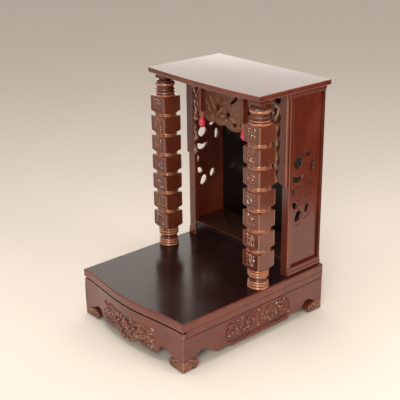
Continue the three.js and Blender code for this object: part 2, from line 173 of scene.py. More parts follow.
def board(us, vs, sdf, front, back, place, rim=1.5, highlight_shade_f=None):
    """A board with a shaped outline, openings and a carved front. Closed mesh by filled contours on a grid.
    sdf < 0 is wood. front and back are heights along the board's outward normal. place(u, v, h) -> 3 columns."""
    U, V = np.meshgrid(us, vs, indexing="ij")
    S = sdf(U, V)
    S = np.where(np.abs(S) < 1e-6, 1e-6, S)
    S[0, :] = np.maximum(S[0, :], 0.2); S[-1, :] = np.maximum(S[-1, :], 0.2)
    S[:, 0] = np.maximum(S[:, 0], 0.2); S[:, -1] = np.maximum(S[:, -1], 0.2)
    ins = S < 0
    nu, nv = S.shape
    idx = np.full(S.shape, -1)
    idx[ins] = np.arange(ins.sum())
    pu, pv = [U[ins]], [V[ins]]
    count = int(ins.sum())
    eu = {}
    cross = ins[:-1, :] != ins[1:, :]
    I, J = np.nonzero(cross)
    t = np.clip(S[I, J] / (S[I, J] - S[I + 1, J]), 0.08, 0.92)
    pu.append(U[I, J] + t * (U[I + 1, J] - U[I, J])); pv.append(V[I, J])
    eh = np.full((nu - 1, nv), -1); eh[I, J] = count + np.arange(len(I)); count += len(I)
    cross = ins[:, :-1] != ins[:, 1:]
    I, J = np.nonzero(cross)
    t = np.clip(S[I, J] / (S[I, J] - S[I, J + 1]), 0.08, 0.92)
    pu.append(U[I, J]); pv.append(V[I, J] + t * (V[I, J + 1] - V[I, J]))
    ev = np.full((nu, nv - 1), -1); ev[I, J] = count + np.arange(len(I)); count += len(I)
    pu, pv = np.concatenate(pu), np.concatenate(pv)
    full = ins[:-1, :-1] & ins[1:, :-1] & ins[1:, 1:] & ins[:-1, 1:]
    I, J = np.nonzero(full)
    faces = [tuple(q) for q in np.stack([idx[I, J], idx[I + 1, J], idx[I + 1, J + 1], idx[I, J + 1]], 1)]
    part = (ins[:-1, :-1] | ins[1:, :-1] | ins[1:, 1:] | ins[:-1, 1:]) & ~full
    rims = []
    for i, j in zip(*np.nonzero(part)):
        cs = [(ins[i, j], idx[i, j], eh[i, j]), (ins[i + 1, j], idx[i + 1, j], ev[i + 1, j]),
              (ins[i + 1, j + 1], idx[i + 1, j + 1], eh[i, j + 1]), (ins[i, j + 1], idx[i, j + 1], ev[i, j])]
        poly, kind = [], []
        for k in range(4):
            inn, vid, e = cs[k]
            if inn:
                poly.append(vid); kind.append("c")
            if inn != cs[(k + 1) % 4][0]:
                poly.append(e); kind.append("out" if inn else "in")
        for k in range(len(poly)):
            if kind[k] == "out" and kind[(k + 1) % len(poly)] == "in":
                rims.append((poly[k], poly[(k + 1) % len(poly)]))
        faces.append(tuple(poly))
    n = count
    hf, hb = front(pu, pv), back(pu, pv)
    top = place(pu, pv, hf)
    bot = place(pu, pv, hb)
    allf = list(faces) + [tuple(q + n for q in reversed(f)) for f in faces]
    for a, b in rims:
        allf.append((b, a, a + n, b + n))
    wear_and_painted_light = np.full(2 * n, 0.5)
    if highlight_shade_f is not None:
        wear_and_painted_light[:n] = highlight_shade_f(pu, pv)
    return np.vstack([top, bot]), allf, wear_and_painted_light


def loft(rings, cap=True):
    n = len(rings[0])
    v = np.vstack(rings)
    f = []
    for k in range(len(rings) - 1):
        for i in range(n):
            j = (i + 1) % n
            f.append((k * n + i, k * n + j, (k + 1) * n + j, (k + 1) * n + i))
    if cap:
        f.append(tuple(reversed(range(n))))
        f.append(tuple(range((len(rings) - 1) * n, len(rings) * n)))
    return v, f


def rbox(x0, x1, y0, y1, z0, z1, r=1.2, arris_wear_and_highlight=0.78, sup=2.6):
    """A box with rounded arrises. Returns verts, faces and per-vertex values: the arrises are lighter, from rubbing and
    a painted highlight.
    """
    sup = min(sup, 0.22 * min(x1 - x0, y1 - y0, z1 - z0))
    def ring(a, z):
        pts = []
        for cx, cy, a0 in ((x1 - r, y0 + r, -90), (x1 - r, y1 - r, 0), (x0 + r, y1 - r, 90), (x0 + r, y0 + r, 180)):
            rr = r - a
            c0, c1 = math.cos(math.radians(a0)), math.sin(math.radians(a0))
            for k, ang in enumerate((a0, a0 + 30, a0 + 60, a0 + 90)):
                q = (cx + rr * math.cos(math.radians(ang)), cy + rr * math.sin(math.radians(ang)))
                if k == 0:
                    # support point before the corner, back along the side
                    pts.append((q[0] + sup * math.sin(math.radians(a0)), q[1] - sup * math.cos(math.radians(a0)), 0.5))
                pts.append((q[0], q[1], arris_wear_and_highlight))
                if k == 3:
                    pts.append((q[0] + sup * math.cos(math.radians(a0 + 180)), q[1] + sup * math.sin(math.radians(a0 + 180)), 0.5))
        return np.array([(x, y, z, w) for x, y, w in pts])
    rings = []
    for a, z, w in ((r, z0, 0.6), (0.3 * r, z0 + 0.3 * r, arris_wear_and_highlight), (0, z0 + r, arris_wear_and_highlight), (0, z0 + r + sup, None), (0, z1 - r - sup, None), (0, z1 - r, arris_wear_and_highlight), (0.3 * r, z1 - 0.3 * r, arris_wear_and_highlight), (r, z1, 0.6)):
        q = ring(min(a, 0.96 * r), z)
        if w is not None:
            q[:, 3] = w
        rings.append(q)
    allr = np.vstack(rings)
    v, f = loft([q[:, :3] for q in rings])
    return v, f, allr[:, 3]


def join(parts):
    vs, fs, ws, o = [], [], [], 0
    for q in parts:
        v, f = q[0], q[1]
        vs.append(np.asarray(v, float))
        ws.append(np.asarray(q[2], float) if len(q) > 2 else np.full(len(v), 0.5))
        fs.extend([tuple(i + o for i in k) for k in f])
        o += len(v)
    return np.vstack(vs), fs, np.concatenate(ws)


def piece(name, node, slot, mat, part, mirror=False, shade_tone=None):
    v, f, w = part
    if mirror:
        v, f = mirrored(v, f)
    return make(name, v, f, node, slot, mat, w, shade_tone=shade_tone)


def frond(path, lobe, width, gap, top, stem=None, seed=0, curl=0.35, both=True, lean=52):
    """Carved foliage: a stem with pointed lobes thrown off to both sides along it."""
    rng = np.random.RandomState(seed)
    p = spline(path, 10)
    d = np.hypot(*np.diff(p, axis=0).T)
    L = np.concatenate([[0], np.cumsum(d)])
    out = [(p, stem or width, (stem or width) * 0.5, top, top * 0.22)]
    n = max(2, int(L[-1] / gap))
    for k in range(n):
        t = (k + 0.5) / n * L[-1]
        i = min(np.searchsorted(L, t), len(p) - 1)
        i0 = max(i - 1, 0)
        q = p[i]
        a = math.atan2(p[i][1] - p[i0][1], p[i][0] - p[i0][0])
        for side in ((1, -1) if both else ((1,) if k % 2 else (-1,))):
            b = a + side * math.radians(lean + rng.uniform(-12, 12))
            l = lobe * (0.75 + 0.5 * rng.rand()) * (1 - 0.35 * t / L[-1])
            out.append(leaf(q[0], q[1], q[0] + l * math.cos(b), q[1] + l * math.sin(b), -side * curl, width * (0.8 + 0.4 * rng.rand()), top * (0.7 + 0.4 * rng.rand())))
    return out


def lathe(profile, n=40, centre=(0, 0)):
    """profile (r, z) bottom to top, closed by fans at both ends."""
    a = np.arange(n) / n * 2 * math.pi
    rings = [np.stack([centre[0] + r * np.cos(a), centre[1] + r * np.sin(a), np.full(n, z)], 1) for r, z in profile]
    return loft(rings)


# ------------------------------------------------------------------ materials
def ramp(nt, stops):
    r = nt.nodes.new("ShaderNodeValToRGB")
    e = r.color_ramp.elements
    while len(e) < len(stops):
        e.new(0.5)
    for k, (p, c) in enumerate(stops):
        e[k].position = p
        e[k].color = (*c, 1)
    return r


def wood(name, dark, mid, light, axis, rough=0.26, coat=0.5, coat_rough=0.12, spec=0.5, bump=0.10, ridge=(0.42, 0.17, 0.09), ridge_amt=0.42, metal=0.0, deep=(0.010, 0.003, 0.0025), shade_colour=(0.014, 0.0045, 0.004)):
    """Stained and lacquered wood: faint long grain and cloudy mottling; ridges lighter, from rubbing and a painted
    highlight; recesses darker with painted shade; and a mix toward a near-black colour for painted shade.
    """
    m = bpy.data.materials.new(name)
    m.use_nodes = True
    nt = m.node_tree
    N, L = nt.nodes, nt.links
    bs = N["Principled BSDF"]
    tc = N.new("ShaderNodeTexCoord")

    def noise(scale, detail, rough_, dist, stretch):
        mp = N.new("ShaderNodeMapping")
        mp.inputs["Scale"].default_value = {"X": (1, stretch, stretch), "Y": (stretch, 1, stretch), "Z": (stretch, stretch, 1)}[axis]
        L.new(tc.outputs["Object"], mp.inputs["Vector"])
        n = N.new("ShaderNodeTexNoise")
        n.inputs["Scale"].default_value = scale
        n.inputs["Detail"].default_value = detail
        n.inputs["Roughness"].default_value = rough_
        n.inputs["Distortion"].default_value = dist
        L.new(mp.outputs[0], n.inputs["Vector"])
        return n

    fine = noise(5.0, 7, 0.62, 0.5, 22.0)
    figure = noise(3.2, 4, 0.5, 0.5, 6.0)
    cloud = noise(6.5, 3, 0.5, 0.3, 1.0)
    m0 = N.new("ShaderNodeMix"); m0.data_type = "FLOAT"; m0.inputs[0].default_value = 0.55
    L.new(fine.outputs["Fac"], m0.inputs[2]); L.new(figure.outputs["Fac"], m0.inputs[3])
    mA = N.new("ShaderNodeMix"); mA.data_type = "FLOAT"; mA.inputs[0].default_value = 0.45
    L.new(m0.outputs[0], mA.inputs[2]); L.new(cloud.outputs["Fac"], mA.inputs[3])
    cr = ramp(nt, [(0.30, dark), (0.50, mid), (0.70, light)])
    L.new(mA.outputs[0], cr.inputs["Fac"])
    # lighter ridge colour: rubbing and a painted highlight, copper-tinted by the metallic part below
    at = N.new("ShaderNodeAttribute"); at.attribute_name = "wear_and_painted_light"
    up = N.new("ShaderNodeMapRange"); up.inputs[1].default_value = 0.52; up.inputs[2].default_value = 0.95
    up.inputs[3].default_value = 0.0; up.inputs[4].default_value = ridge_amt
    L.new(at.outputs["Fac"], up.inputs[0])
    m1 = N.new("ShaderNodeMix"); m1.data_type = "RGBA"
    L.new(up.outputs[0], m1.inputs[0]); L.new(cr.outputs["Color"], m1.inputs[6]); m1.inputs[7].default_value = (*ridge, 1)
    # darker recess colour: painted shade
    dn = N.new("ShaderNodeMapRange"); dn.inputs[1].default_value = 0.48; dn.inputs[2].default_value = 0.05
    dn.inputs[3].default_value = 0.0; dn.inputs[4].default_value = 0.95
    L.new(at.outputs["Fac"], dn.inputs[0])
    m2 = N.new("ShaderNodeMix"); m2.data_type = "RGBA"
    L.new(dn.outputs[0], m2.inputs[0]); L.new(m1.outputs[2], m2.inputs[6]); m2.inputs[7].default_value = (*deep, 1)
    # mix toward the darkest colour: painted shade
    tn = N.new("ShaderNodeAttribute"); tn.attribute_name = "shade_tone"
    m3 = N.new("ShaderNodeMix"); m3.data_type = "RGBA"
    L.new(tn.outputs["Fac"], m3.inputs[0]); L.new(m2.outputs[2], m3.inputs[6]); m3.inputs[7].default_value = (*shade_colour, 1)
    L.new(m3.outputs[2], bs.inputs["Base Color"])
    if metal:
        mm = N.new("ShaderNodeMath"); mm.operation = "MULTIPLY"; mm.inputs[1].default_value = metal / max(ridge_amt, 1e-3)
        L.new(up.outputs[0], mm.inputs[0]); L.new(mm.outputs[0], bs.inputs["Metallic"])
    rr = N.new("ShaderNodeMapRange")
    rr.inputs[1].default_value = 0.3; rr.inputs[2].default_value = 0.7
    rr.inputs[3].default_value = rough * 0.8; rr.inputs[4].default_value = rough * 1.3
    L.new(cloud.outputs["Fac"], rr.inputs[0]); L.new(rr.outputs[0], bs.inputs["Roughness"])
    bs.inputs["Coat Weight"].default_value = coat
    bs.inputs["Coat Roughness"].default_value = coat_rough
    bs.inputs["Specular IOR Level"].default_value = spec
    bp = N.new("ShaderNodeBump")
    bp.inputs["Strength"].default_value = bump
    bp.inputs["Distance"].default_value = 0.0005
    L.new(m0.outputs[0], bp.inputs["Height"])
    L.new(bp.outputs[0], bs.inputs["Normal"])
    return m


D, M_, LT = (0.066, 0.0090, 0.0047), (0.122, 0.0185, 0.0080), (0.190, 0.038, 0.015)
WOOD_Z = wood("lacquer_upright", D, M_, LT, "Z")
WOOD_X = wood("lacquer_across", D, M_, LT, "X")
WOOD_Y = wood("lacquer_deep", D, M_, LT, "Y")
DECK_X = wood("lacquer_deck", (0.012, 0.003, 0.0025), (0.018, 0.0045, 0.0035), (0.028, 0.008, 0.006), "X", rough=0.20, coat=0.04, coat_rough=0.10, bump=0.03, spec=0.36)
TOP_X = wood("lacquer_top", (0.020, 0.006, 0.004), (0.034, 0.010, 0.006), (0.055, 0.018, 0.010), "X", rough=0.20, coat=0.45, coat_rough=0.10, bump=0.015)
DARK_X = wood("dark_lacquer_across", (0.007, 0.0022, 0.002), (0.014, 0.0045, 0.004), (0.026, 0.008, 0.006), "X", rough=0.24, coat=0.08, ridge_amt=0.25, spec=0.35)
DARK_Z = wood("dark_lacquer_upright", (0.004, 0.0015, 0.0015), (0.008, 0.003, 0.003), (0.016, 0.005, 0.004), "Z", rough=0.38, coat=0.15, ridge_amt=0.2)
BACK_Z = wood("lacquer_back", (0.040, 0.006, 0.0035), (0.080, 0.013, 0.006), (0.120, 0.022, 0.010), "Z", rough=0.36, coat=0.2, shade_colour=(0.003, 0.0012, 0.0011), spec=0.25)
CD, CM, CL = (0.070, 0.013, 0.006), (0.125, 0.027, 0.012), (0.19, 0.048, 0.022)
# ridge colours: lighter from rubbing and a painted copper highlight
CARVE_Z = wood("carved_lacquer_upright", CD, CM, CL, "Z", rough=0.27, ridge=(0.62, 0.27, 0.15), ridge_amt=0.75, metal=0.30)
CARVE_X = wood("carved_lacquer_across", CD, CM, CL, "X", rough=0.27, ridge=(0.55, 0.24, 0.13), ridge_amt=0.7, metal=0.25)
FRET_Z = wood("fret_lacquer_upright", D, M_, LT, "Z", rough=0.30, ridge=(0.58, 0.38, 0.26), ridge_amt=0.85, metal=0.2, coat=0.35)
FRET_X = wood("fret_lacquer_across", (0.14, 0.042, 0.020), (0.20, 0.068, 0.034), (0.28, 0.105, 0.058), "X", rough=0.32, ridge=(0.50, 0.32, 0.21), ridge_amt=0.75, metal=0.15, coat=0.35)


def plain(name, c0, c1, rough, coat=0.0, scale=40.0, sss=0.0):
    m = bpy.data.materials.new(name)
    m.use_nodes = True
    nt = m.node_tree
    bs = nt.nodes["Principled BSDF"]
    tc = nt.nodes.new("ShaderNodeTexCoord")
    n = nt.nodes.new("ShaderNodeTexNoise"); n.inputs["Scale"].default_value = scale; n.inputs["Detail"].default_value = 4
    nt.links.new(tc.outputs["Object"], n.inputs["Vector"])
    r = ramp(nt, [(0.35, c0), (0.65, c1)])
    nt.links.new(n.outputs["Fac"], r.inputs["Fac"])
    nt.links.new(r.outputs["Color"], bs.inputs["Base Color"])
    bs.inputs["Roughness"].default_value = rough
    bs.inputs["Coat Weight"].default_value = coat
    b = nt.nodes.new("ShaderNodeBump"); b.inputs["Strength"].default_value = 0.08; b.inputs["Distance"].default_value = 0.0004
    nt.links.new(n.outputs["Fac"], b.inputs["Height"]); nt.links.new(b.outputs[0], bs.inputs["Normal"])
    return m


SOCKET = plain("lamp_socket_finish", (0.30, 0.085, 0.040), (0.38, 0.11, 0.055), 0.42, 0.2)
BULB = plain("lamp_bulb_finish", (0.66, 0.022, 0.070), (0.76, 0.032, 0.095), 0.22, 0.6)

# ------------------------------------------------------------------ platform slab
HALF, FRONT, BACK, BOW = 280.0, -320.0, 350.0, 24.0
bow = lambda x: BOW * (1 + np.cos(np.pi * np.asarray(x, float) / HALF)) / 2


def slab_ring(inset, z):
    half = HALF - inset
    x = np.linspace(-half, half, 121)
    f = np.stack([x, FRONT - bow(x) + inset, np.full_like(x, z)], 1)
    c = min(inset, 1.5) + 0.6
    b = np.array([[half, BACK - c, z], [half - c, BACK, z], [-half + c, BACK, z], [-half, BACK - c, z]])
    return np.vstack([f, b])


levels = [(1.0, 152.8), (0.3, 153.3), (0, 154.2)]
for a in np.linspace(0, 90, 9):
    r = 6.0
    levels.append((r * (1 - math.cos(math.radians(a))) * 0.85, 182 - r + r * math.sin(math.radians(a))))
levels.append((8.5, 182.0))
levels.insert(3, (0, 156.0))
rings_ = [slab_ring(i, z) for i, z in levels]
slab = loft(rings_)
per = len(rings_[0])
zz_ = np.repeat([z for i, z in levels], per)
ii_ = np.repeat([i for i, z in levels], per)
# painted shade: the underside and the level top darkest, the top arris darkening toward the top
slab_shade_tone = np.where(zz_ < 153.0, 1.0, np.where(ii_ > 6.5, 1.0, np.clip((zz_ - 180.0) / 2.0, 0, 1) * 0.55 * (zz_ > 176)))
# painted highlight along the lower arris of the deck, above the gap
slab_arris_highlight = np.where((zz_ > 178) & (ii_ < 5), 0.5, np.where((zz_ > 152.2) & (zz_ < 154.5), 0.72, 0.5))
lipR = rbox(262, 280, FRONT + 19.4, BACK, 128.2, 151.95, 1.2, arris_wear_and_highlight=0.6)
lipL = (*mirrored(lipR[0], lipR[1]), lipR[2])
dv, df, dw = join([(*slab, slab_arris_highlight), lipR, lipL])
make("deck", dv, df, "platform_slab", "dark_lacquered_wood", WOOD_X, dw, flat=DECK_X, shade_tone=np.concatenate([slab_shade_tone, np.zeros(len(dv) - len(slab_shade_tone))]))

# ------------------------------------------------------------------ aprons
from_table = lambda tab, t: np.interp(t, [p[0] for p in tab], [p[1] for p in tab])


def smooth_table(tab, per=6):
    s = spline(tab, per)
    keep = [0]
    for i in range(1, len(s)):
        if s[i, 0] > s[keep[-1], 0] + 0.2:
            keep.append(i)
    return s[keep]


FE = [[0, 22], [16, 20], [35, 26], [50, 33], [65, 36], [80, 29], [95, 28], [110, 30], [124, 24], [143, 25], [155, 32], [164, 50], [172, 59],
      [185, 63], [196, 61], [212, 52], [231, 43.5], [240, 42.3], [280, 42.3]]
FET = smooth_table(FE)


def round_drop(d, r):
    """How far a rounded arris falls back at distance d from the edge."""
    d = np.clip(d, 0, r)
    return r - np.sqrt(np.maximum(r * r - (r - d) ** 2, 0))


def apron_strokes():
    s = []
    s.append((spiral(0, 74, 10, 2, 90, 1.5), 3.2, 2.0, 6.4, 1.0))
    for k in range(13):
        a = math.radians(-40 + k * 22)
        s.append(leaf(11 * math.cos(a), 74 + 11 * math.sin(a), 29 * math.cos(a), 74 + 30 * math.sin(a), 0.22 * (-1) ** k, 3.2, 5.8))
    for q in (-1, 1):
        fx = lambda pts: [(q * x, z) for x, z in pts]
        s += frond(fx([(18, 52), (36, 48), (54, 60), (66, 78), (82, 88), (98, 82), (104, 68), (96, 58)]), 14, 2.7, 5.5, 5.8, 3.0, 3 + q, 0.45 * q)
        s += frond(fx([(22, 96), (40, 102), (58, 100), (76, 106), (96, 108), (114, 102), (124, 90)]), 13, 2.6, 5.5, 5.2, 2.6, 9 + q, 0.4 * q, lean=62)
        s += frond(fx([(6, 33), (24, 31), (44, 42), (66, 47), (90, 40), (112, 38), (128, 46), (137, 60), (134, 78)]), 11, 2.6, 5.5, 5.0, 2.6, 21 + q, 0.4 * q)
        s += frond(fx([(112, 54), (122, 66), (124, 80), (116, 90), (126, 102), (136, 110)]), 12, 2.5, 5.5, 5.2, 2.6, 25 + q, 0.4 * q)
        for (cx, cz, r, a0, t) in ((44, 76, 7, 40, 1.3), (84, 68, 7, 200, -1.3), (112, 74, 6, 0, 1.2)):
            s.append((spiral(q * cx, cz, r, 2, a0 if q > 0 else 180 - a0, t * q, 18), 2.5, 1.7, 6.0, 0.8))
        for x in (62, 74, 86, 98, 110, 122):
            s.append(leaf(q * x, 78 - abs(x - 92) * 0.2, q * (x + 6), 100 - abs(x - 92) * 0.3, 0.3 * q, 2.6, 6.0))
    return s


AS = apron_strokes()


def apron_front(u, v):
    h = 18.4 * np.ones_like(u)
    rel = relief(u, v, AS)
    body = np.clip(1 - np.abs(u) / 142, 0, 1)
    ground = -1.4 * np.clip(1 - np.abs(u) / 138, 0, 0.2) * 5 * np.clip((112 - 24 * (np.abs(u) / 132) ** 2 - v) / 8, 0, 1)
    d = v - np.interp(np.abs(u), FET[:, 0], FET[:, 1])
    end = 280 - np.abs(u)
    rtop = 1.3 + 6.5 * np.clip((np.abs(u) - 262) / 14, 0, 1)
    arr = round_drop(d, 2.0) + rtop - np.sqrt(np.maximum(rtop ** 2 - (rtop - np.clip(147.5 - v, 0, rtop)) ** 2, 0))
    arr = arr + np.where(v < 127.2, round_drop(end, 2.6), round_drop(end, 4.0))
    return np.where(rel > 0.6, h + rel - arr * 0.6, h + ground - arr)


def apron_back(u, v):
    end = 280 - np.abs(u)
    mitre = np.clip(19.0 - end, 0, 18.0)
    return np.where(v < 127.25, mitre, 0.0)


def apron_place(u, v, h):
    # heights run from the back plane (0) to the front (19); the board follows the deck's bow
    return np.stack([u, FRONT - bow(u) + 19.0 - h, v], 1)


us = grid((-281, -279.2, 0.9), (-279.2, -276, 0.8), (-276, -258, 3), (-258, -150, 3.0), (-150, 150, 1.5), (150, 258, 3.0), (258, 276, 3), (276, 279.2, 0.8), (279.2, 281, 0.9))
vs = grid((16, 124, 1.5), (124, 126.9, 1.4), (126.9, 127.6, 0.35), (127.6, 138, 3.4), (138, 146, 1.3), (146, 148.6, 0.6))
sd = lambda u, v: np.maximum.reduce([(np.interp(np.abs(u), FET[:, 0], FET[:, 1]) - v) * 0.8, v - 147.4, np.abs(u) - 279.6])
# painted light on the front apron: carving lighter, more so toward the right (painted highlight); ground darker beside
# the carving (painted shade); top arris under the gap lighter (painted highlight); corner arrises lighter, from rubbing
# and a painted highlight
def highlight_shade_f(u, v):
    rel = relief(u, v, AS)
    w = 0.5 + (rel > 0.6) * (rel / 24 + 0.12 * np.clip((u - 40) / 40, 0, 1) * (rel > 3.2)) - 0.20 * np.clip((0.8 - rel) / 0.8, 0, 1) * np.clip((138 - np.abs(u)) / 6, 0, 1) * np.clip((116 - 24 * (np.abs(u) / 132) ** 2 - v) / 5, 0, 1)
    w = np.where((v > 145.2) & (v < 147.0), 0.66, w)
    w = np.where((np.abs(u) > 277.2) & (v < 142), 0.92, w)
    return np.clip(w, 0, 1)



bv, bf, bw = board(us, vs, sd, apron_front, apron_back, apron_place, highlight_shade_f=highlight_shade_f)
# painted shade: the top edge in the gap under the deck and the inner face darkest
tn = np.where(bv[:, 2] > 147.1, 1.0, 0.0); tn[len(bw) // 2:] = 1
make("front_apron_carved", bv, bf, "front_apron", "lacquered_wood", WOOD_X, bw, shade_tone=tn)

SE = [[0, 42.3], [36, 42.3], [56, 46], [70, 54], [80, 62], [90, 62], [99, 58], [118, 46], [137, 34], [149, 25], [165, 25], [179, 27], [191, 32], [203, 28], [212, 21],
      [489, 20], [495, 26], [503, 35], [512, 32], [546, 29], [564, 41], [580, 57], [592, 61], [606, 57], [622, 48], [636, 42.3], [670, 42.3]]
SET = np.vstack([smooth_table(SE[:15]), smooth_table(SE[15:])])
CART = spline([(206, 38), (190, 48), (181, 64), (183, 86), (190, 103), (206, 113), (260, 117), (340, 118), (440, 119), (470, 117), (490, 106), (501, 88), (502, 68), (496, 50), (484, 41), (440, 39), (340, 38), (260, 37)], 4, True)


def side_strokes():
    s = []
    s += frond([(196, 62), (204, 86), (222, 100), (240, 88), (250, 64), (272, 54), (286, 74), (300, 98), (324, 102), (336, 80), (352, 58), (374, 58), (384, 82), (402, 102), (424, 96), (436, 70), (456, 56), (478, 62), (486, 84)], 16, 2.5, 5.2, 5.2, 2.6, 5, 0.5)
    for k, (x, z) in enumerate(((212, 62), (230, 112), (232, 72), (262, 80), (272, 110), (300, 64), (312, 48), (340, 98), (352, 112), (366, 74), (398, 66), (410, 48), (440, 106), (462, 84), (476, 110), (490, 60))):
        s += frond([(x - 7, z - 4), (x, z + 3), (x + 8, z - 1)], 9, 2.2, 4.5, 4.6, 2.2, 50 + k, 0.5)
    s += frond([(250, 106), (272, 98), (262, 82)], 10, 2.6, 6.5, 5.0, 2.8, 6, 0.5)
    s += frond([(352, 104), (366, 92), (354, 78)], 10, 2.6, 6.5, 5.0, 2.8, 7, 0.5)
    s += frond([(300, 50), (318, 60), (314, 76)], 10, 2.6, 6.5, 5.0, 2.8, 8, -0.5)
    s += frond([(402, 50), (416, 62), (408, 78)], 10, 2.6, 6.5, 5.0, 2.8, 9, -0.5)
    s += frond([(452, 106), (472, 104), (486, 92)], 10, 2.6, 6.5, 4.8, 2.8, 10, 0.5)
    for cx, cz, r, a, t in ((222, 68, 9, 60, -1.4), (318, 84, 8, -60, 1.4), (372, 70, 8, 80, -1.4), (450, 84, 9, -80, 1.4)):
        s.append((spiral(cx, cz, r, 2, a, t, 20), 3.0, 1.9, 6.0, 0.9))
    return s


SS = side_strokes()
cart_sdf = lambda u, v: poly_sdf(u, v, CART)


def side_front(u, v):
    t = u - FRONT
    d = v - np.interp(t, SET[:, 0], SET[:, 1])
    h = 19.0 - round_drop(d, 2.0) - round_drop(127 - v, 2.4) - round_drop(t, 2.6) - round_drop(670 - t, 2.0)
    m = (t > 176) & (t < 506) & (v > 30) & (v < 122)
    if m.any():
        c = cart_sdf(t[m], v[m])
        rel = relief(t[m], v[m], SS)
        rim = 1.6 * np.exp(-((c - 1.0) / 1.9) ** 2)
        inside = c < -1.5
        hh = h[m] + rim + np.where(inside, -3.6 * np.clip((-c - 1.5) / 2.0, 0, 1) + rel, 0)
        g = 3.4 * np.exp(-((v[m] - np.interp(t[m], [212, 486], [33.4, 36.4])) / 1.7) ** 2) * ((t[m] > 212) & (t[m] < 488))
        h[m] = hh - g
    return h


# painted light on the side apron: carving lighter (painted highlight), its ground and the border groove darker (painted
# shade), the front corner lighter from rubbing and a painted highlight, the top edge under the lip dark (painted shadow
# in the joint)
def side_highlight_shade(u, v):
    t = u - FRONT
    w = np.full(u.shape, 0.5)
    m = (t > 176) & (t < 506) & (v > 30) & (v < 122)
    c = cart_sdf(t[m], v[m]); rel = relief(t[m], v[m], SS)
    ww = np.where(c < -1.5, np.where(rel > 0.8, 0.48 + rel / 26, 0.36), 0.5 + 0.10 * np.exp(-((c - 1.0) / 1.9) ** 2))
    g = ((t[m] > 212) & (t[m] < 488)) * np.exp(-((v[m] - np.interp(t[m], [212, 486], [33.4, 36.4])) / 1.7) ** 2)
    w[m] = ww * (1 - g) + 0.1 * g
    w = np.where(t < 2.6, 0.92, w)
    w = np.where(v > 125.0, 0.12, w)
    return np.clip(w, 0, 1)


def side_back(u, v):
    t = u - FRONT
    return np.clip(18.8 - t, 0, 18.2)


us = FRONT + grid((-1, 3, 0.8), (3, 30, 4.5), (30, 174, 3.2), (174, 508, 1.6), (508, 646, 3.2), (646, 666, 5), (666, 671, 1.0))
vs = grid((15, 122, 1.6), (122, 128, 0.75))
sd = lambda u, v: np.maximum.reduce([(np.interp(u - FRONT, SET[:, 0], SET[:, 1]) - v) * 0.8, v - 126.9, FRONT + 0.4 - u, u - 349.8])
bv, bf, bw = board(us, vs, sd, side_front, side_back, lambda u, v, h: np.stack([261 + h, u, v], 1), highlight_shade_f=side_highlight_shade)
# painted shade: the inner face darkest
tn = np.zeros(len(bw)); tn[len(bw) // 2:] = 1
make("side_apron_right_carved", bv, bf, "side_apron_right", "lacquered_wood", WOOD_Y, bw, shade_tone=tn)
make("side_apron_left_carved", *mirrored(bv, bf), "side_apron_left", "lacquered_wood", WOOD_Y, bw, shade_tone=tn)
piece("back_apron_board", "back_apron", "lacquered_wood", WOOD_X, rbox(-260.6, 260.6, 331.5, 349.5, 60, 151.7))


# ------------------------------------------------------------------ feet
def surface_nets(F, org, step):
    """Closed surface of F < 0 on a regular grid."""
    ins = F < 0
    nx, ny, nz = F.shape
    acc = np.zeros((nx - 1, ny - 1, nz - 1, 3)); cnt = np.zeros((nx - 1, ny - 1, nz - 1))
    for ax in range(3):
        sl0 = [slice(None)] * 3; sl1 = [slice(None)] * 3
        sl0[ax] = slice(0, -1); sl1[ax] = slice(1, None)
        a, b = F[tuple(sl0)], F[tuple(sl1)]
        cr = (a < 0) != (b < 0)
        t = np.where(cr, a / np.where(np.abs(a - b) < 1e-12, 1, a - b), 0)
        I = np.stack(np.meshgrid(*[np.arange(s) for s in a.shape], indexing="ij"), -1).astype(float)
        P = I.copy(); P[..., ax] += t
        o = [k for k in range(3) if k != ax]
        for da in (0, 1):
            for db in (0, 1):
                # the edge at index i belongs to cells i - d in the two other axes
                dst = [slice(None)] * 3; src = [slice(None)] * 3
                for k, dd in zip(o, (da, db)):
                    if dd == 0:
                        dst[k] = slice(0, None); src[k] = slice(0, -1)
                    else:
                        dst[k] = slice(0, None); src[k] = slice(1, None)
                w = cr[tuple(src)]
                acc[tuple(dst)] += np.where(w[..., None], P[tuple(src)], 0)
                cnt[tuple(dst)] += w
    has = cnt > 0
    vid = np.full(cnt.shape, -1); vid[has] = np.arange(has.sum())
    V = acc[has] / cnt[has][:, None]
    faces = []
    for ax in range(3):
        o = [(ax + 1) % 3, (ax + 2) % 3]
        sl0 = [slice(1, -1)] * 3; sl1 = [slice(1, -1)] * 3
        sl0[ax] = slice(0, -1); sl1[ax] = slice(1, None)
        a, b = ins[tuple(sl0)], ins[tuple(sl1)]
        I = np.argwhere(a != b)
        if not len(I):
            continue
        flip = ins[tuple(sl0)][tuple(I.T)]
        base = I.copy()
        for k in o:
            base[:, k] += 1
        def cell(d1, d2):
            c = base.copy(); c[:, o[0]] -= d1; c[:, o[1]] -= d2
            return vid[c[:, 0], c[:, 1], c[:, 2]]
        q = np.stack([cell(1, 1), cell(0, 1), cell(0, 0), cell(1, 0)], 1)
        q[~flip] = q[~flip][:, ::-1]
        faces.extend([tuple(r) for r in q])
    return np.asarray(org) + V * step, faces


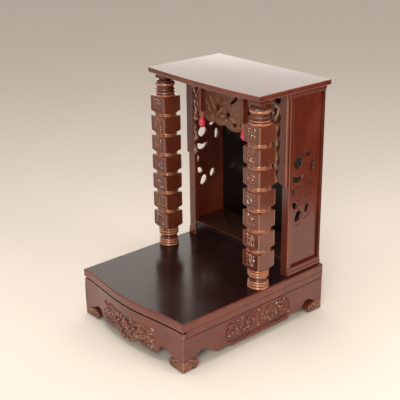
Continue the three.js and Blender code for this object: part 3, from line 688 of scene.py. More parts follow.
def foot_mesh():
    step = 1.5
    org = np.array([-5.0, -5.0, -3.0])      # a and b run inward from the two outer faces, z up
    n = (int(93 / step), int(83 / step), int(50 / step))
    A, B, Z = np.meshgrid(*[org[k] + np.arange(n[k]) * step for k in range(3)], indexing="ij")
    long_ = spline([(-8, -1), (30, -1), (60, -0.6), (71, 2), (78, 8), (80.5, 17), (77, 26), (68, 33), (56, 38.5), (44, 42), (20, 42.6), (-8, 42.6)], 5, True)
    short = spline([(-8, -1), (20, -1), (52, -0.6), (62, 2), (69, 9), (70.5, 19), (67, 28), (60, 34), (50, 39), (40, 42), (20, 42.6), (-8, 42.6)], 5, True)
    a1 = np.linspace(-6, 90, 97); z1 = np.linspace(-3, 46, 50)
    PA, PZ = np.meshgrid(a1, z1, indexing="ij")
    tl, ts = poly_sdf(PA, PZ, long_), poly_sdf(PA, PZ, short)

    def scroll(k):
        # k stretches the leaf along the face
        return [(spiral(23, 20, 17, 3, 110, 1.75, 40), 4.2, 3.0, 5.2, 1.2),
                (spline([(18, 38), (34, 38), (46, 31), (54 * k, 25), (62 * k, 27), (67 * k, 20), (62 * k, 11), (52, 8), (45, 13), (47, 20)]), 4.2, 2.4, 5.0, 1.1),
                leaf(42, 33, 66 * k, 33, -0.25, 3.4, 4.4), leaf(44, 22, 58 * k, 16, 0.2, 3.0, 4.4), leaf(6, 4, 16, 2, 0.1, 2.6, 3.4), leaf(34, 5, 48, 3.5, 0.1, 2.6, 3.6), leaf(5, 34, 13, 39, 0.2, 2.8, 3.8)]
    rl, rs = relief(PA, PZ, scroll(1.13)), relief(PA, PZ, scroll(1.0))

    def look(T, a, z):
        fa = np.clip((a - a1[0]) / (a1[1] - a1[0]), 0, len(a1) - 1.001); fz = np.clip((z - z1[0]) / (z1[1] - z1[0]), 0, len(z1) - 1.001)
        i, j = fa.astype(int), fz.astype(int); x, y = fa - i, fz - j
        return T[i, j] * (1 - x) * (1 - y) + T[i + 1, j] * x * (1 - y) + T[i, j + 1] * (1 - x) * y + T[i + 1, j + 1] * x * y
    pa, pb = look(tl, A, Z), look(ts, B, Z)
    ra, rb = look(rl, A, Z), look(rs, B, Z)
    fb = (3.2 - ra) * np.clip((A - 2.6) / 2.4, 0, 1) * np.clip((41 - Z) / 2.5, 0, 1) - B
    fa = (3.2 - rb) * np.clip((B - 2.6) / 2.4, 0, 1) * np.clip((41 - Z) / 2.5, 0, 1) - A
    F = np.maximum.reduce([pa, pb, fb, fa, -Z, Z - 42.0])
    c = 2.2
    q = np.maximum(c - A, 0) ** 2 + np.maximum(c - B, 0) ** 2
    F = np.where((A < c) & (B < c), np.maximum(F, np.sqrt(q) - c), F)
    v, f = surface_nets(F, org, step)
    wa = look(rl, v[:, 0], v[:, 2]); wb = look(rs, v[:, 1], v[:, 2])
    on_b, on_a = v[:, 1] < 5.5, v[:, 0] < 5.5
    w = np.full(len(v), 0.5)
    # painted light: carving lighter (painted highlight), its ground darker (painted shade), the corner arris lighter
    # from rubbing and a painted highlight
    w = np.where(on_b & (v[:, 0] > 4), np.where(wa > 1.2, 0.48 + wa / 22, 0.25), w)
    w = np.where(on_a & (v[:, 1] > 4), np.where(wb > 1.2, 0.48 + wb / 22, 0.25), w)
    w = np.where((v[:, 0] < 4) & (v[:, 1] < 4), 0.95, w)
    v[:, 2] = np.maximum(v[:, 2], 0.0)
    return v, f, np.clip(w, 0, 1)


fv, ff, fw_ = foot_mesh()


def signed_volume(v, f):
    s = 0.0
    v = np.asarray(v)
    for q in f:
        p0 = v[q[0]]
        for k in range(1, len(q) - 1):
            s += np.dot(p0, np.cross(v[q[k]], v[q[k + 1]]))
    return s / 6


flip = signed_volume(fv, ff) < 0
if flip:
    ff = [tuple(reversed(f)) for f in ff]
for nm, sx, sy in (("foot_front_right", 1, -1), ("foot_front_left", -1, -1), ("foot_rear_right", 1, 1), ("foot_rear_left", -1, 1)):
    w = np.stack([sx * (HALF - fv[:, 0]), np.where(sy < 0, FRONT + fv[:, 1], BACK - fv[:, 1]), fv[:, 2]], 1)
    # (a, b) -> (-x, +y) keeps handedness reversed once; each further mirror flips it again
    g = ff if (sx * (-1)) * (1 if sy < 0 else -1) > 0 else [tuple(reversed(f)) for f in ff]
    make(nm + "_scroll", w, g, nm, "carved_wood", CARVE_X, fw_)

# ------------------------------------------------------------------ columns
COLX, COLY, CH = 245.0, 52.0, 38.8
FIRST, PITCH, CUBE, NC = 266.0, 75.0, 54.2, 7


def bead(z, zc, R, rb):
    return np.where(np.abs(z - zc) < rb, R + np.sqrt(np.maximum(rb * rb - (z - zc) ** 2, 0)), 0)


def lathe_r(z):
    z = np.asarray(z, float)
    r = np.full(z.shape, 60.0)
    # foot
    low = z < FIRST
    foot = np.maximum.reduce([np.where(z < 215, 32.5, 30.2), bead(z, 187.2, 33.0, 5.2), bead(z, 197.6, 32.6, 4.6), bead(z, 207.0, 32.4, 4.2), bead(z, 231, 32.6, 4.6), bead(z, 241.3, 33.2, 5.0), bead(z, 251.2, 32.8, 4.2),
                              np.where(z > 226, 33.2, 0), np.interp(z, [211, 218, 224, 227], [33.2, 30.6, 30.2, 33.0], left=0, right=0), np.interp(z, [255.5, 258, 266], [34, 38.4, 55.2], left=0)])
    r = np.where(low, foot, r)
    for i in range(NC - 1):
        t = FIRST + PITCH * i + CUBE            # block top
        g = PITCH - CUBE
        m = (z > t) & (z < t + g)
        d = t + g - z                            # down from the block above
        c1 = np.interp(d, [0, 6.3, 6.6], [55.2, 40.0, 0])
        c2 = np.interp(d, [17.6, 18.0, g], [0, 39.0, 55.2])
        gap = np.maximum.reduce([np.full(z.shape, 36.4), c1, c2, bead(d, 8.9, 38.0, 2.7), bead(d, 15.7, 37.2, 2.4)])
        r = np.where(m, gap, r)
    t = FIRST + PITCH * (NC - 1) + CUBE
    hi = z > t
    ball = np.where(np.abs(z - 816.5) < 14.5, 36.4 * np.sqrt(np.maximum(1 - ((z - 816.5) / 17.5) ** 2, 0)), 0)
    top = np.maximum.reduce([np.full(z.shape, 31.0), np.interp(z, [t, t + 3.6, t + 4.0], [55.2, 37, 0]), bead(z, 776.2, 33.2, 3.0), bead(z, 785.4, 32.0, 3.9), bead(z, 797.0, 31.2, 4.3), ball])
    top = np.where(z > 829, np.interp(z, [829, 832, 833.5], [24.5, 22.5, 22.0]), top)
    top = np.where(z > 833.4, 60, top)
    return np.where(hi, top, r)


def half_side(z):
    """Half width of the square outline at height z: the post, then the small plate under the board."""
    return np.where(z < 833.4, CH, np.interp(z, [833.4, 837.5, 846, 847, 849, 850, 854.7], [19.5, 25.0, 25.0, 22.5, 22.5, 25.6, 25.6]))


def cube_strokes(seed):
    """Rows of short separate raised strokes, each kept in its own cell. Not writing."""
    rng = np.random.RandomState(seed)
    s = []
    for row, z in enumerate((16.0, 5.5, -5.0, -15.5)):
        n = 3 + int(rng.rand() > 0.45)
        w = 40.0 / n
        for k in range(n):
            cx = -20 + w * (k + 0.5) + rng.uniform(-0.8, 0.8)
            a = math.radians(rng.choice([-58, -34, 22, 40, 66, 90, 112]) + rng.uniform(-8, 8))
            l = rng.uniform(0.62, 0.86) * min(w, 9.0) / 2 / max(abs(math.cos(a)), 0.55) * 0.9
            l = min(l, 4.9)
            c, q = math.cos(a), math.sin(a)
            b = rng.uniform(-1.6, 1.6)
            s.append((spline([(cx - l * c, z - l * q), (cx - b * q, z + b * c), (cx + l * c, z + l * q)], 5), 2.15, 1.5, 3.0))
    return s


def column_mesh(seed0):
    zs = [182.3]
    zs += list(np.arange(183.2, FIRST - 0.5, 1.25))
    for i in range(NC):
        b = FIRST + PITCH * i
        zs += [b, b + 0.8]
        zs += list(np.linspace(b + 2.0, b + CUBE - 2.0, 36))
        zs += [b + CUBE - 0.8, b + CUBE]
        if i < NC - 1:
            zs += list(b + CUBE + np.linspace(0.9, PITCH - CUBE - 0.9, 17))
    zs += list(np.arange(FIRST + PITCH * (NC - 1) + CUBE + 1.0, 833.0, 1.25))
    zs += [833.3, 833.5, 835.2, 837.5, 842, 845.6, 846.2, 847, 848.2, 849, 850, 850.6, 853, 854.7]
    zs = np.array(sorted(set(np.round(zs, 3))))
    # outline directions: dense on the carved -Y face
    d = []
    e = CH
    for x in grid((-36.5, 36.5, 1.5)):
        d.append((x, -e))
    for a in (-75, -45, -15):
        d.append((e - 2.2 + 2.2 * math.cos(math.radians(a)), -e + 2.2 + 2.2 * math.sin(math.radians(a))))
    for y in np.linspace(-36.5, 36.5, 13):
        d.append((e, y))
    for a in (15, 45, 75):
        d.append((e - 2.2 + 2.2 * math.cos(math.radians(a)), e - 2.2 + 2.2 * math.sin(math.radians(a))))
    for x in np.linspace(36.5, -36.5, 13):
        d.append((x, e))
    for a in (105, 135, 165):
        d.append((-e + 2.2 + 2.2 * math.cos(math.radians(a)), e - 2.2 + 2.2 * math.sin(math.radians(a))))
    for y in np.linspace(36.5, -36.5, 13):
        d.append((-e, y))
    for a in (195, 225, 255):
        d.append((-e + 2.2 + 2.2 * math.cos(math.radians(a)), -e + 2.2 + 2.2 * math.sin(math.radians(a))))
    d = np.array(d)
    nd, nz = len(d), len(zs)
    X = np.repeat(d[None, :, 0], nz, 0); Y = np.repeat(d[None, :, 1], nz, 0); Z = np.repeat(zs[:, None], nd, 1)
    hs = half_side(zs)[:, None] / CH
    # arrises of the blocks wear round a little
    X, Y = X * hs, Y * hs
    R = np.hypot(X, Y)
    rl = lathe_r(zs)[:, None]
    k = np.minimum(1.0, rl / R)
    wear_and_painted_light = np.full(R.shape, 0.5)
    carve = np.zeros(R.shape)
    for i in range(NC):
        b = FIRST + PITCH * i
        m = (Z > b + 3) & (Z < b + CUBE - 3) & (Y < -CH + 0.01) & (np.abs(X) < 33)
        st = cube_strokes(seed0 + 7 * i)
        rel = relief(X[m], Z[m] - b - CUBE / 2, st)
        fade = np.clip((33 - np.abs(X[m])) / 2.5, 0, 1) * np.clip((Z[m] - b - 3) / 2.5, 0, 1) * np.clip((b + CUBE - 3 - Z[m]) / 2.5, 0, 1)
        carve[m] = np.where(rel > 0.4, rel - 1.4, -1.4) * fade
        # painted light on the carved face: strokes lighter (painted highlight), ground darker (painted shade)
        wear_and_painted_light[m] = np.where(rel > 0.4, 0.52 + rel / 13, 0.38)
    # corner arrises lighter: rubbing and a painted highlight
    corner = (np.abs(np.abs(X) - CH) < 2.3) & (np.abs(np.abs(Y) - CH) < 2.3)
    wear_and_painted_light = np.where(corner, 0.66, wear_and_painted_light)
    X2, Y2 = X * k, Y * k - carve * (k > 0.999)
    # turned parts: beads lighter (painted highlight), narrow necks darker (painted shade)
    bd = bead_highlight_shade(zs)[:, None] * np.ones((1, nd))
    wear_and_painted_light = np.where(k < 0.999, 0.5 + bd, wear_and_painted_light)
    v = np.stack([X2, Y2, Z], -1).reshape(-1, 3)
    f = []
    for a in range(nz - 1):
        for c in range(nd):
            c2 = (c + 1) % nd
            f.append((a * nd + c, a * nd + c2, (a + 1) * nd + c2, (a + 1) * nd + c))
    f.append(tuple(reversed(range(nd))))
    f.append(tuple(range((nz - 1) * nd, nz * nd)))
    return v, f, wear_and_painted_light.reshape(-1)


# painted highlight on the beads, painted shade in the narrow necks
def bead_highlight_shade(z):
    r = lathe_r(z)
    out = np.zeros(z.shape)
    out = np.where((r > 35.5) & (r < 42), 0.36, out)
    out = np.where(r < 34.0, -0.12, out)
    return np.where(r > 50, 0, out)


for side, sx, seed in (("right", 1, 3), ("left", -1, 58)):
    v, f, w = column_mesh(seed)
    make("column_%s_carved" % side, v + np.array([sx * COLX, COLY, 0]), f, "column_" + side, "carved_wood", CARVE_Z, w, smooth=32)

# ------------------------------------------------------------------ top board
BH, BF, BB = 284.5, 8.0, 14.0


def board_ring(inset, z):
    half = BH - inset
    x = np.linspace(-half, half, 81)
    f = np.stack([x, BF - BB * (1 - (x / half) ** 2) + inset, np.full_like(x, z)], 1)
    b = np.array([[half, 349.4, z], [half - 0.6, 350, z], [-half + 0.6, 350, z], [-half, 349.4, z]])
    return np.vstack([f, b])


lv = []
for a in np.linspace(0, 90, 7):
    lv.append((8.0 * (1 - math.sin(math.radians(a))), 855 + 7.5 * (1 - math.cos(math.radians(a)))))
for a in np.linspace(0, 90, 6):
    lv.append((2.6 * (1 - math.cos(math.radians(a))), 872.4 + 2.6 * math.sin(math.radians(a))))
tb = loft([board_ring(i, z) for i, z in lv])
zb = np.repeat([z for i, z in lv], len(board_ring(0, 0)))
# the top arris lighter: rubbing and a painted highlight
make("top_board_bowed", *tb, "top_board", "lacquered_wood", WOOD_X, np.where((zb > 872.0) & (zb < 874.5), 0.6, 0.5), flat=TOP_X)

# ------------------------------------------------------------------ niche
Z0, Z1 = 182.3, 854.7
sv = rbox(233, 265, 176, 193.7, Z0, Z1, 1.8, arris_wear_and_highlight=0.86)
piece("stile_right_board", "stile_right", "lacquered_wood", WOOD_Z, sv)
piece("stile_left_board", "stile_left", "lacquered_wood", WOOD_Z, sv, True)

HOLES = [
    [[532, 582], [549, 589], [557, 602], [550, 616], [537, 622], [523, 615], [515, 601], [521, 588]],
    [[507, 556], [511, 542], [523, 533], [540, 533], [553, 540], [561, 557], [549, 553], [534, 551], [519, 556]],
    [[503.5, 507], [507, 488], [515, 484], [520.5, 494], [514.5, 510]],
    [[507.5, 457], [513, 443], [524, 435.5], [535.5, 440], [531, 451], [520, 459]],
    [[524, 391], [538, 386], [553.5, 395], [557.5, 408], [550, 421.5], [537, 421.5], [527.5, 408]],
    [[574, 414], [585, 409.5], [597, 421], [595.5, 436.5], [584, 439], [575.5, 427.5]],
    [[600.5, 566], [610, 560], [617.5, 576], [614, 596], [604, 599], [599.5, 582]],
    [[573, 622], [586, 619], [600, 625], [590, 630.5], [578, 630]],
]
HS = [spline(h, 4, True) for h in HOLES]


def holes_sdf(u, v):
    """Positive inside an opening."""
    t = u - FRONT - 14.0
    v = v + 6.5
    out = np.full(u.shape, -50.0)
    for h in HS:
        m = (t > h[:, 0].min() - 9) & (t < h[:, 0].max() + 9) & (v > h[:, 1].min() - 9) & (v < h[:, 1].max() + 9)
        if m.any():
            out[m] = np.maximum(out[m], -poly_sdf(t[m], v[m], h))
    return out


def panel_strokes():
    """Shallow cuts, drawn as strokes."""
    s = []
    for pts, w in (([(526, 628), (540, 634), (556, 628), (566, 616), (572, 630), (590, 634), (604, 626)], 3.0), ([(544, 640), (560, 648), (580, 646), (596, 638)], 2.4),
                   ([(560, 600), (574, 596), (582, 584), (578, 572), (566, 570)], 2.8), ([(592, 556), (596, 574), (592, 592), (598, 606)], 2.8), ([(620, 560), (624, 580), (621, 600)], 2.2),
                   ([(522, 520), (538, 524), (552, 518), (562, 524), (572, 540), (568, 556)], 3.0), ([(596, 530), (608, 520), (612, 504), (604, 494)], 2.6), ([(586, 548), (606, 546)], 2.0), ([(588, 538), (604, 534)], 2.0),
                   ([(528, 478), (540, 490), (548, 506)], 3.2), ([(540, 466), (554, 480), (562, 502)], 3.2), ([(556, 448), (568, 470), (572, 500)], 3.4), ([(572, 446), (582, 468), (582, 500)], 3.0), ([(600, 446), (598, 470), (592, 496)], 2.8),
                   ([(560, 396), (566, 420), (562, 440)], 3.2), ([(548, 430), (538, 438), (534, 452)], 2.6), ([(568, 388), (584, 394), (598, 404), (606, 420)], 2.8), ([(606, 446), (612, 466), (610, 486)], 2.2), ([(526, 376), (544, 372), (560, 378)], 2.4)):
        s.append((spline(pts, 6), w * 0.8, w * 0.35, 1.1))
    return s


PS = panel_strokes()


def panel_front(u, v):
    t, w = u - FRONT - 14.0, v + 6.5
    h = np.full(u.shape, 10.0)
    m = (t > 496) & (t < 632) & (w > 360) & (w < 662)
    if m.any():
        cut = relief(t[m], w[m], PS)
        hs = holes_sdf(u[m], v[m])
        h[m] = h[m] - cut * 0.5
        h[m] -= round_drop(np.clip(-hs, 0, 1.6), 1.6) * (hs > -1.6)
    return h


# painted shade: cuts and the margins of the openings darker
def panel_painted_shade(u, v):
    t, q = u - FRONT - 14.0, v + 6.5
    w = np.full(u.shape, 0.5)
    m = (t > 496) & (t < 632) & (q > 360) & (q < 662)
    cut = relief(t[m], q[m], PS); hs = holes_sdf(u[m], v[m])
    w[m] = np.where(cut > 0.2, 0.40 - cut / 6, 0.5) - 0.16 * np.clip((hs + 5) / 5, 0, 1)
    return np.clip(w, 0, 1)


us = FRONT + grid((513.2, 642, 1.55), (642, 652, 3.4), (652, 656.4, 1.0))
vs = grid((181, 184, 1.0), (184, 350, 14), (350, 660, 1.6), (660, 852, 14), (852, 856, 1.0))
sd = lambda u, v: np.maximum.reduce([FRONT + 514.0 - u, u - 335.7, Z0 - v, v - Z1, holes_sdf(u, v)])
bv, bf, bw = board(us, vs, sd, panel_front, lambda u, v: 10.0 - panel_front(u, v), lambda u, v, h: np.stack([246 + h, u, v], 1), highlight_shade_f=panel_painted_shade)
n2 = len(bw) // 2
q_ = np.sqrt(((bv[:n2, 1] - FRONT - 578.0) / 56.0) ** 2 + ((bv[:n2, 2] - 504.0) / 148.0) ** 2)
# the inner face is darker round the piercing
bw[n2:] = np.minimum(bw[:n2], 0.5 - 0.20 * np.clip((1.12 - q_) / 0.25, 0, 1))
make("side_panel_right_carved", bv, bf, "side_panel_right", "lacquered_wood", WOOD_Z, bw)
make("side_panel_left_carved", *mirrored(bv, bf), "side_panel_left", "lacquered_wood", WOOD_Z, bw)

bp_ = join([rbox(-265, 265, 336, 346, Z0, Z1, 1.0, arris_wear_and_highlight=0.5), rbox(-245.6, 245.6, 335.75, 337, 247.4, 854.2, 0.2, arris_wear_and_highlight=0.5)])
# painted shade: the face toward the niche darkest
piece("back_panel_board", "back_panel", "dark_lacquered_wood", BACK_Z, bp_, shade_tone=((np.asarray(bp_[0])[:, 1] < 337.1) & (np.abs(np.asarray(bp_[0])[:, 0]) < 250)).astype(float))
shelf = join([rbox(-245.7, 245.7, 194.0, 335.7, 233, 247, 0.8), rbox(-232.7, 232.7, 176.5, 193.95, 233, 247, 1.2)])
piece("niche_floor_board", "niche_floor", "dark_lacquered_wood", DARK_X, shelf)
piece("niche_riser_board", "niche_riser", "dark_lacquered_wood", DARK_X, rbox(-232.7, 232.7, 181, 193, 182.3, 232.7, 0.6))


def moulding(profile, y0, y1):
    """profile (x, z) closed, counter-clockwise seen from -Y; mitre-less square ends."""
    p = np.asarray(profile, float)
    rings = [np.stack([p[:, 0], np.full(len(p), y), p[:, 1]], 1) for y in (y0, y1)]
    v, f = loft(rings)
    return v, f


def arc(cx, cz, r, a0, a1, n=6):
    t = np.radians(np.linspace(a0, a1, n))
    return [(cx + r * math.cos(a), cz + r * math.sin(a)) for a in t]


sk = [(265.3, 182.3), (268.9, 182.3)] + arc(267.3, 194.5, 1.6, 0, 80) + [(266.9, 198.0)] + arc(265.9, 208.2, 1.1, 0, 60) + [(266.0, 211.6)] + [(265.3, 212.3)]
mv, mf = moulding(sk, 175.2, 345.8)
if signed_volume(mv, mf) < 0:
    mf = [tuple(reversed(q)) for q in mf]
sk_ = join([(mv, mf), rbox(256.3, 265.25, 194.4, 335.6, 182.3, 205.6, 2.0, arris_wear_and_highlight=0.6)])
piece("skirting_right_moulding", "skirting_right", "lacquered_wood", WOOD_Y, sk_)
piece("skirting_left_moulding", "skirting_left", "lacquered_wood", WOOD_Y, sk_, True)
co = [(265.3, 833)] + arc(266.0, 834.4, 1.1, -80, 0, 4) + [(267.3, 838.4)] + arc(267.9, 842.0, 1.8, -80, 0) + [(269.8, 847)] + arc(270.2, 850.4, 1.6, -80, 0) + [(271.9, 854.7), (265.3, 854.7)]
mv, mf = moulding(co, 162.2, 344.8)
if signed_volume(mv, mf) < 0:
    mf = [tuple(reversed(q)) for q in mf]
co_m = join([(mv, mf), rbox(256.3, 265.25, 194.4, 335.6, 836.3, 854.7, 1.4, arris_wear_and_highlight=0.6)])
piece("cornice_right_moulding", "cornice_right", "lacquered_wood", WOOD_Y, co_m)
piece("cornice_left_moulding", "cornice_left", "lacquered_wood", WOOD_Y, co_m, True)

# ------------------------------------------------------------------ fretwork
BO = [[172.3, 800], [176, 788], [186, 782], [188, 770], [182, 760], [184, 748], [194, 744], [198, 732], [192, 720], [194, 706], [202, 700],
      [206, 688], [201, 676], [202, 664], [211, 660], [215, 648], [211, 632], [212, 616], [206, 604], [203, 592], [208, 582], [217, 578], [219, 564], [213, 552], [208, 540], [206, 531], [213, 527], [226, 530], [244, 526]]
bo = spline(BO, 4)
BOUT = np.vstack([[[259, 854.5]], [[172.3, 854.5]], bo, [[259, 524.5]]])
BHO = [
    [[198, 828], [214, 834], [224, 826], [220, 812], [206, 808], [196, 816]],
    [[200, 792], [208, 798], [214, 788], [209, 774], [200, 768], [196, 780]],
    [[216, 768], [222, 776], [226, 764], [222, 748], [216, 744], [213, 756]],
    [[204, 748], [209, 756], [212, 742], [209, 726], [204, 720], [201, 734]],
    [[217, 724], [222, 732], [225, 718], [222, 700], [217, 694], [214, 710]],
    [[218, 676], [222, 684], [225, 670], [222, 652], [219, 646], [217, 660]],
    [[219, 622], [222, 630], [225, 616], [223, 598], [220, 594], [218, 608]],
]
BHS = [spline(h, 4, True) for h in BHO]


def br_strokes():
    s = []
    s += frond([(224, 838), (206, 806), (216, 778), (204, 752), (214, 724), (206, 700), (214, 676), (208, 650), (216, 624), (209, 600), (216, 570), (212, 545), (216, 532)], 12, 2.6, 7.5, 5.4, 3.2, 17, 0.4)
    for cx, cz, r, a, t in ((190, 776, 9, 90, 1.3), (200, 728, 8, 90, -1.3), (208, 668, 8, 0, 1.3), (209, 592, 8, 90, 1.3), (226, 790, 9, 180, -1.2), (212, 540, 7, 0, 1.2), (192, 812, 11, 0, 1.3)):
        s.append((spiral(cx, cz, r, 2, a, t, 18), 3.0, 1.8, 5.6, 0.8))
    return s


BS_ = br_strokes()


def br_holes(u, v):
    out = np.full(u.shape, -50.0)
    for h in BHS:
        m = (u > h[:, 0].min() - 9) & (u < h[:, 0].max() + 9) & (v > h[:, 1].min() - 9) & (v < h[:, 1].max() + 9)
        if m.any():
            out[m] = np.maximum(out[m], -poly_sdf(u[m], v[m], h))
    return out


def br_sdf(u, v):
    return np.maximum(poly_sdf(u, v, BOUT), br_holes(u, v))


def br_front(u, v):
    d = -br_sdf(u, v)
    plainband = np.clip((u - 229) / 3.0, 0, 1)
    base = 10.0 + 3.7 * plainband
    rel = relief(u, v, BS_) * (1 - plainband)
    h = base + np.minimum(rel, 5.0)
    h = h - round_drop(np.clip(d, 0, 2.4), 2.4)
    return h


# painted light: the plain band's arrises and the carving lighter (painted highlight), the carved ground darker (painted
# shade)
def br_highlight_shade(u, v):
    rel = relief(u, v, BS_)
    d = -br_sdf(u, v)
    return np.clip(np.where(u > 229, np.where(d < 2, 0.66, 0.5), np.where(rel > 1.0, 0.6 + rel / 14, 0.42)), 0, 1)


us = grid((170.5, 232, 1.5), (232, 256, 4), (256, 260, 0.9))
vs = grid((521.5, 846, 1.6), (846, 856, 1.6))
bv, bf, bw = board(us, vs, br_sdf, br_front, lambda u, v: np.zeros_like(u), lambda u, v, h: np.stack([u, 175.7 - h, v], 1), highlight_shade_f=br_highlight_shade)
make("bracket_right_carved", bv, bf, "bracket_right", "carved_wood", FRET_Z, bw)
make("bracket_left_carved", *mirrored(bv, bf), "bracket_left", "carved_wood", FRET_Z, bw)

LO = [[0, 662], [20, 664], [36, 671], [48, 676], [60, 672], [75, 669], [92, 673], [104, 679], [118, 672], [134, 672], [150, 678], [160, 690], [171.7, 706]]
LT_ = smooth_table(LO)
VHO = [
    [[-24, 764], [-16, 760], [2, 772], [16, 786], [14, 793], [4, 788], [-10, 776]],
    [[-46, 712], [-38, 704], [-26, 708], [-22, 720], [-30, 728], [-40, 724]],
    [[28, 690], [36, 684], [44, 694], [44, 716], [36, 722], [30, 708]],
    [[66, 742], [74, 738], [80, 750], [76, 762], [68, 758]],
    [[-98, 726], [-88, 722], [-80, 734], [-84, 748], [-94, 746]],
    [[96, 704], [106, 700], [114, 712], [110, 726], [100, 722]],
    [[-146, 716], [-138, 712], [-132, 724], [-136, 738], [-144, 732]],
    [[132, 716], [140, 712], [148, 724], [144, 738], [134, 732]],
    [[-8, 684], [2, 680], [12, 686], [8, 694], [-4, 694]],
]
VHS = [spline(h, 4, True) for h in VHO]


def va_holes(u, v):
    out = np.full(u.shape, -50.0)
    for h in VHS:
        m = (u > h[:, 0].min() - 9) & (u < h[:, 0].max() + 9) & (v > h[:, 1].min() - 9) & (v < h[:, 1].max() + 9)
        if m.any():
            out[m] = np.maximum(out[m], -poly_sdf(u[m], v[m], h))
    return out


def va_strokes():
    s = []
    s.append((np.array([(-154, 764), (-125, 717)]), 2.2, 2.2, 7.2))
    s.append((np.array([(-126, 774), (-98, 729)]), 2.2, 2.2, 7.2))
    s += frond([(-166, 700), (-146, 690), (-124, 686), (-104, 694), (-84, 688), (-60, 684), (-40, 692), (-20, 684), (0, 676), (22, 682), (40, 690), (60, 686), (84, 686), (104, 694), (128, 688), (150, 694), (168, 716)], 11, 2.2, 6, 3.8, 2.2, 31, 0.4)
    s += frond([(-92, 706), (-74, 726), (-52, 734), (-30, 722), (-14, 704), (6, 700), (16, 714), (6, 726)], 12, 2.2, 5.5, 4.8, 2.6, 33, 0.45)
    s += frond([(166, 744), (144, 752), (122, 744), (104, 728), (84, 722), (66, 730), (56, 746), (66, 760)], 12, 2.2, 5.5, 4.8, 2.6, 37, -0.45)
    s += frond([(20, 744), (34, 732), (52, 716), (62, 700)], 11, 2.2, 5.5, 4.6, 2.4, 39, 0.4)
    s += frond([(-60, 752), (-40, 764), (-20, 748), (0, 750), (24, 762), (48, 774), (70, 770)], 11, 2.2, 5.5, 4.2, 2.4, 41, 0.4)
    s += frond([(84, 700), (92, 724), (90, 750), (98, 776)], 10, 2.2, 5.5, 4.6, 2.4, 43, 0.35)
    s += frond([(-168, 760), (-160, 736), (-166, 716)], 10, 2.2, 5.5, 4.4, 2.4, 45, 0.35)
    s += frond([(-44, 782), (-70, 786), (-90, 776), (-84, 760)], 9, 2.0, 5.5, 3.6, 2.2, 46, 0.35)
    s += frond([(60, 786), (90, 792), (120, 786), (150, 790)], 9, 2.0, 5.5, 3.4, 2.2, 47, 0.35)
    for cx, cz, r, a, t in ((-6, 708, 9, 100, -1.6), (44, 742, 8, 200, 1.5), (-62, 706, 8, 0, 1.5), (88, 712, 8, 150, -1.5), (128, 748, 8, 30, 1.5), (-114, 702, 8, 60, -1.5), (-84, 762, 7, 60, -1.5), (120, 776, 7, 60, -1.5)):
        s.append((spiral(cx, cz, r, 2, a, t, 22), 2.6, 1.6, 5.4, 0.8))
    return s


VS_ = va_strokes()


def va_sdf(u, v):
    low = (np.interp(np.abs(u), LT_[:, 0], LT_[:, 1]) - v) * 0.85
    return np.maximum.reduce([low, v - 854.5, np.abs(u) - 171.7, va_holes(u, v)])


def va_front(u, v):
    d = -va_sdf(u, v)
    low = v - np.interp(np.abs(u), LT_[:, 0], LT_[:, 1])
    band = np.clip((v - 786) / 6, 0, 1)
    rel = relief(u, v, VS_)
    edge = np.exp(-((low - 3.5) / 2.6) ** 2) * 3.0
    h = 10.0 + 3.2 * band + np.maximum(np.maximum(rel, 0) * (1 - 0.4 * band), edge) * 1.0
    return h - round_drop(np.clip(d, 0, 2.4), 2.4)


# painted light: carving and lower edge lighter (painted highlight), ground darker (painted shade); the two bars take
# the lightest colour
def va_highlight_shade(u, v):
    rel = relief(u, v, VS_)
    low = v - np.interp(np.abs(u), LT_[:, 0], LT_[:, 1])
    bars = relief(u, v, VS_[:2]) > 1
    w = np.where(rel > 1.0, 0.50 + rel / 22, np.where(v > 788, 0.5, np.where(low < 6, 0.56, 0.40)))
    return np.clip(np.where(bars, 1.0, w), 0, 1)


us = grid((-173, 173, 1.6))
vs = grid((659, 798, 1.6), (798, 850, 6), (850, 856, 1.5))
bv, bf, bw = board(us, vs, va_sdf, va_front, lambda u, v: np.zeros_like(u), lambda u, v, h: np.stack([u, 175.7 - h, v], 1), highlight_shade_f=va_highlight_shade)
make("valance_carved", bv, bf, "valance", "carved_wood", FRET_X, bw)

# ------------------------------------------------------------------ lamps
LX, LY = 109.0, 110.0
for side, sx in (("right", 1), ("left", -1)):
    piece("lamp_post_%s_wood" % side, "lamp_post_" + side, "lacquered_wood", WOOD_Z, rbox(LX - 8, LX + 8, LY - 14, LY + 9, 729, 854.7, 1.0), sx < 0)
    prof = [(8.6, 709), (9.6, 709.6), (10.8, 711.4), (11, 713.5), (10.8, 716), (9.6, 717.6), (9.4, 719), (9.4, 725), (9.8, 726.6), (10.9, 727.6), (10.9, 728.7)]
    make("lamp_socket_%s_turned" % side, *lathe(prof, 40, (sx * LX, LY)), "lamp_socket_" + side, "lamp_socket", SOCKET)
    prof = []
    for t in np.linspace(0, 1, 30):
        z = 667 + 41.7 * t
        r = 12.0 * math.sin(math.pi * t ** 0.86) ** 0.6 if 0 < t < 1 else 0.0
        prof.append((max(r, 0.6 if t < 0.5 else 6.4), z))
    make("lamp_bulb_%s_glass" % side, *lathe(prof, 40, (sx * LX, LY)), "lamp_bulb_" + side, "lamp_bulb", BULB)

# ------------------------------------------------------------------ stage
def stage_plane(name, pts, colour, rough=0.9, emit=None):
    me = bpy.data.meshes.new(name)
    me.from_pydata(pts, [], [(0, 1, 2, 3)])
    ob = bpy.data.objects.new(name, me)
    bpy.context.scene.collection.objects.link(ob)
    m = bpy.data.materials.new(name)
    m.use_nodes = True
    b = m.node_tree.nodes["Principled BSDF"]
    b.inputs["Base Color"].default_value = (*colour, 1)
    b.inputs["Roughness"].default_value = rough
    if emit:
        b.inputs["Emission Color"].default_value = (*emit[0], 1)
        b.inputs["Emission Strength"].default_value = emit[1]
    me.materials.append(m)
    return ob


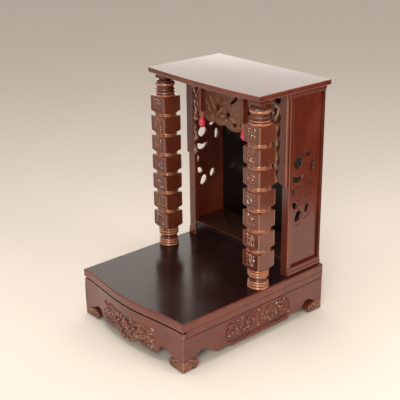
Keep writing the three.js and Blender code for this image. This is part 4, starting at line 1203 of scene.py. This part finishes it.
stage_plane("floor", [(-9, -9, -0.0004), (9, -9, -0.0004), (9, 9, -0.0004), (-9, 9, -0.0004)], (0.64, 0.595, 0.54))
# a dark flag off to the right and behind, seen only in reflections
flag = stage_plane("flag", [(1.06 - 1.1, 0.92 + 1.15, 0.0), (1.06 + 1.1, 0.92 - 1.15, 0.0), (1.06 + 1.1, 0.92 - 1.15, 1.3), (1.06 - 1.1, 0.92 + 1.15, 1.3)], (0.02, 0.012, 0.010))
flag.visible_camera = False
flag.visible_diffuse = False
flag.visible_shadow = False
flag.visible_transmission = False

# a card that keeps part of the key light off the left column
card = stage_plane("card", [(-0.30, -1.25, 1.12), (1.17, -1.25, 1.12), (1.17, -1.25, 2.2), (-0.30, -1.25, 2.2)], (0.05, 0.05, 0.05))
card.visible_camera = False
card.visible_diffuse = False
card.visible_glossy = False
card.visible_transmission = False

W = bpy.data.worlds.new("studio")
bpy.context.scene.world = W
W.use_nodes = True
wn, wl = W.node_tree.nodes, W.node_tree.links
wt = wn.new("ShaderNodeTexCoord")
wd = wn.new("ShaderNodeVectorMath"); wd.operation = "DOT_PRODUCT"
wd.inputs[1].default_value = (-0.70, 0.64, 0.30)
wl.new(wt.outputs["Generated"], wd.inputs[0])
wr = wn.new("ShaderNodeMapRange"); wr.interpolation_type = "SMOOTHSTEP"
wr.inputs[1].default_value = 0.2; wr.inputs[2].default_value = 0.95
wr.inputs[3].default_value = 0.17; wr.inputs[4].default_value = 1.8
wl.new(wd.outputs["Value"], wr.inputs[0])
wn["Background"].inputs[0].default_value = (1.0, 0.90, 0.82, 1)
wl.new(wr.outputs[0], wn["Background"].inputs[1])


def area(name, loc, target, size, power, colour=(1, 1, 1)):
    l = bpy.data.lights.new(name, "AREA")
    l.shape = "RECTANGLE"
    l.size, l.size_y = size
    l.energy = power
    l.color = colour
    o = bpy.data.objects.new(name, l)
    o.location = loc
    o.rotation_mode = "QUATERNION"
    o.rotation_quaternion = (Vector(target) - Vector(loc)).to_track_quat("-Z", "Y")
    bpy.context.scene.collection.objects.link(o)
    return o


area("key", (2.3, -2.5, 1.9), (0, 0, 0.5), (1.2, 1.6), 100, (1.0, 0.92, 0.80))
area("fill_left", (-1.6, -2.8, 1.4), (0, 0, 0.1), (1.8, 1.4), 8, (1.0, 0.96, 0.93))
area("overhead", (0.2, -0.7, 3.4), (0.1, -0.3, 0), (2.4, 2.4), 84, (1.0, 0.96, 0.92))
area("side", (2.7, 1.1, 1.7), (0.2, 0.1, 0.25), (1.2, 1.2), 34, (1.0, 0.92, 0.84))

cam = bpy.data.cameras.new("camera")
cam.sensor_width = 36.0
cam.lens = 873.57 * 36 / 400
cam.shift_x = -(214.78 - 200) / 400
cam.shift_y = (189.45 - 200) / 400
co_ = bpy.data.objects.new("camera", cam)
th, az, ro = math.radians(21.094), math.radians(48.264), math.radians(-0.342)
fwd = np.array([-math.sin(az) * math.cos(th), math.cos(az) * math.cos(th), -math.sin(th)])
rt = np.array([math.cos(az), math.sin(az), 0.0])
up = np.cross(rt, fwd)
r2 = math.cos(ro) * rt + math.sin(ro) * up
u2 = -math.sin(ro) * rt + math.cos(ro) * up
R = Matrix([[r2[0], u2[0], -fwd[0], 2.1765], [r2[1], u2[1], -fwd[1], -1.8731], [r2[2], u2[2], -fwd[2], 1.5925], [0, 0, 0, 1]])
co_.matrix_world = R
bpy.context.scene.collection.objects.link(co_)
bpy.context.scene.camera = co_
bpy.context.scene.view_settings.view_transform = "Standard"
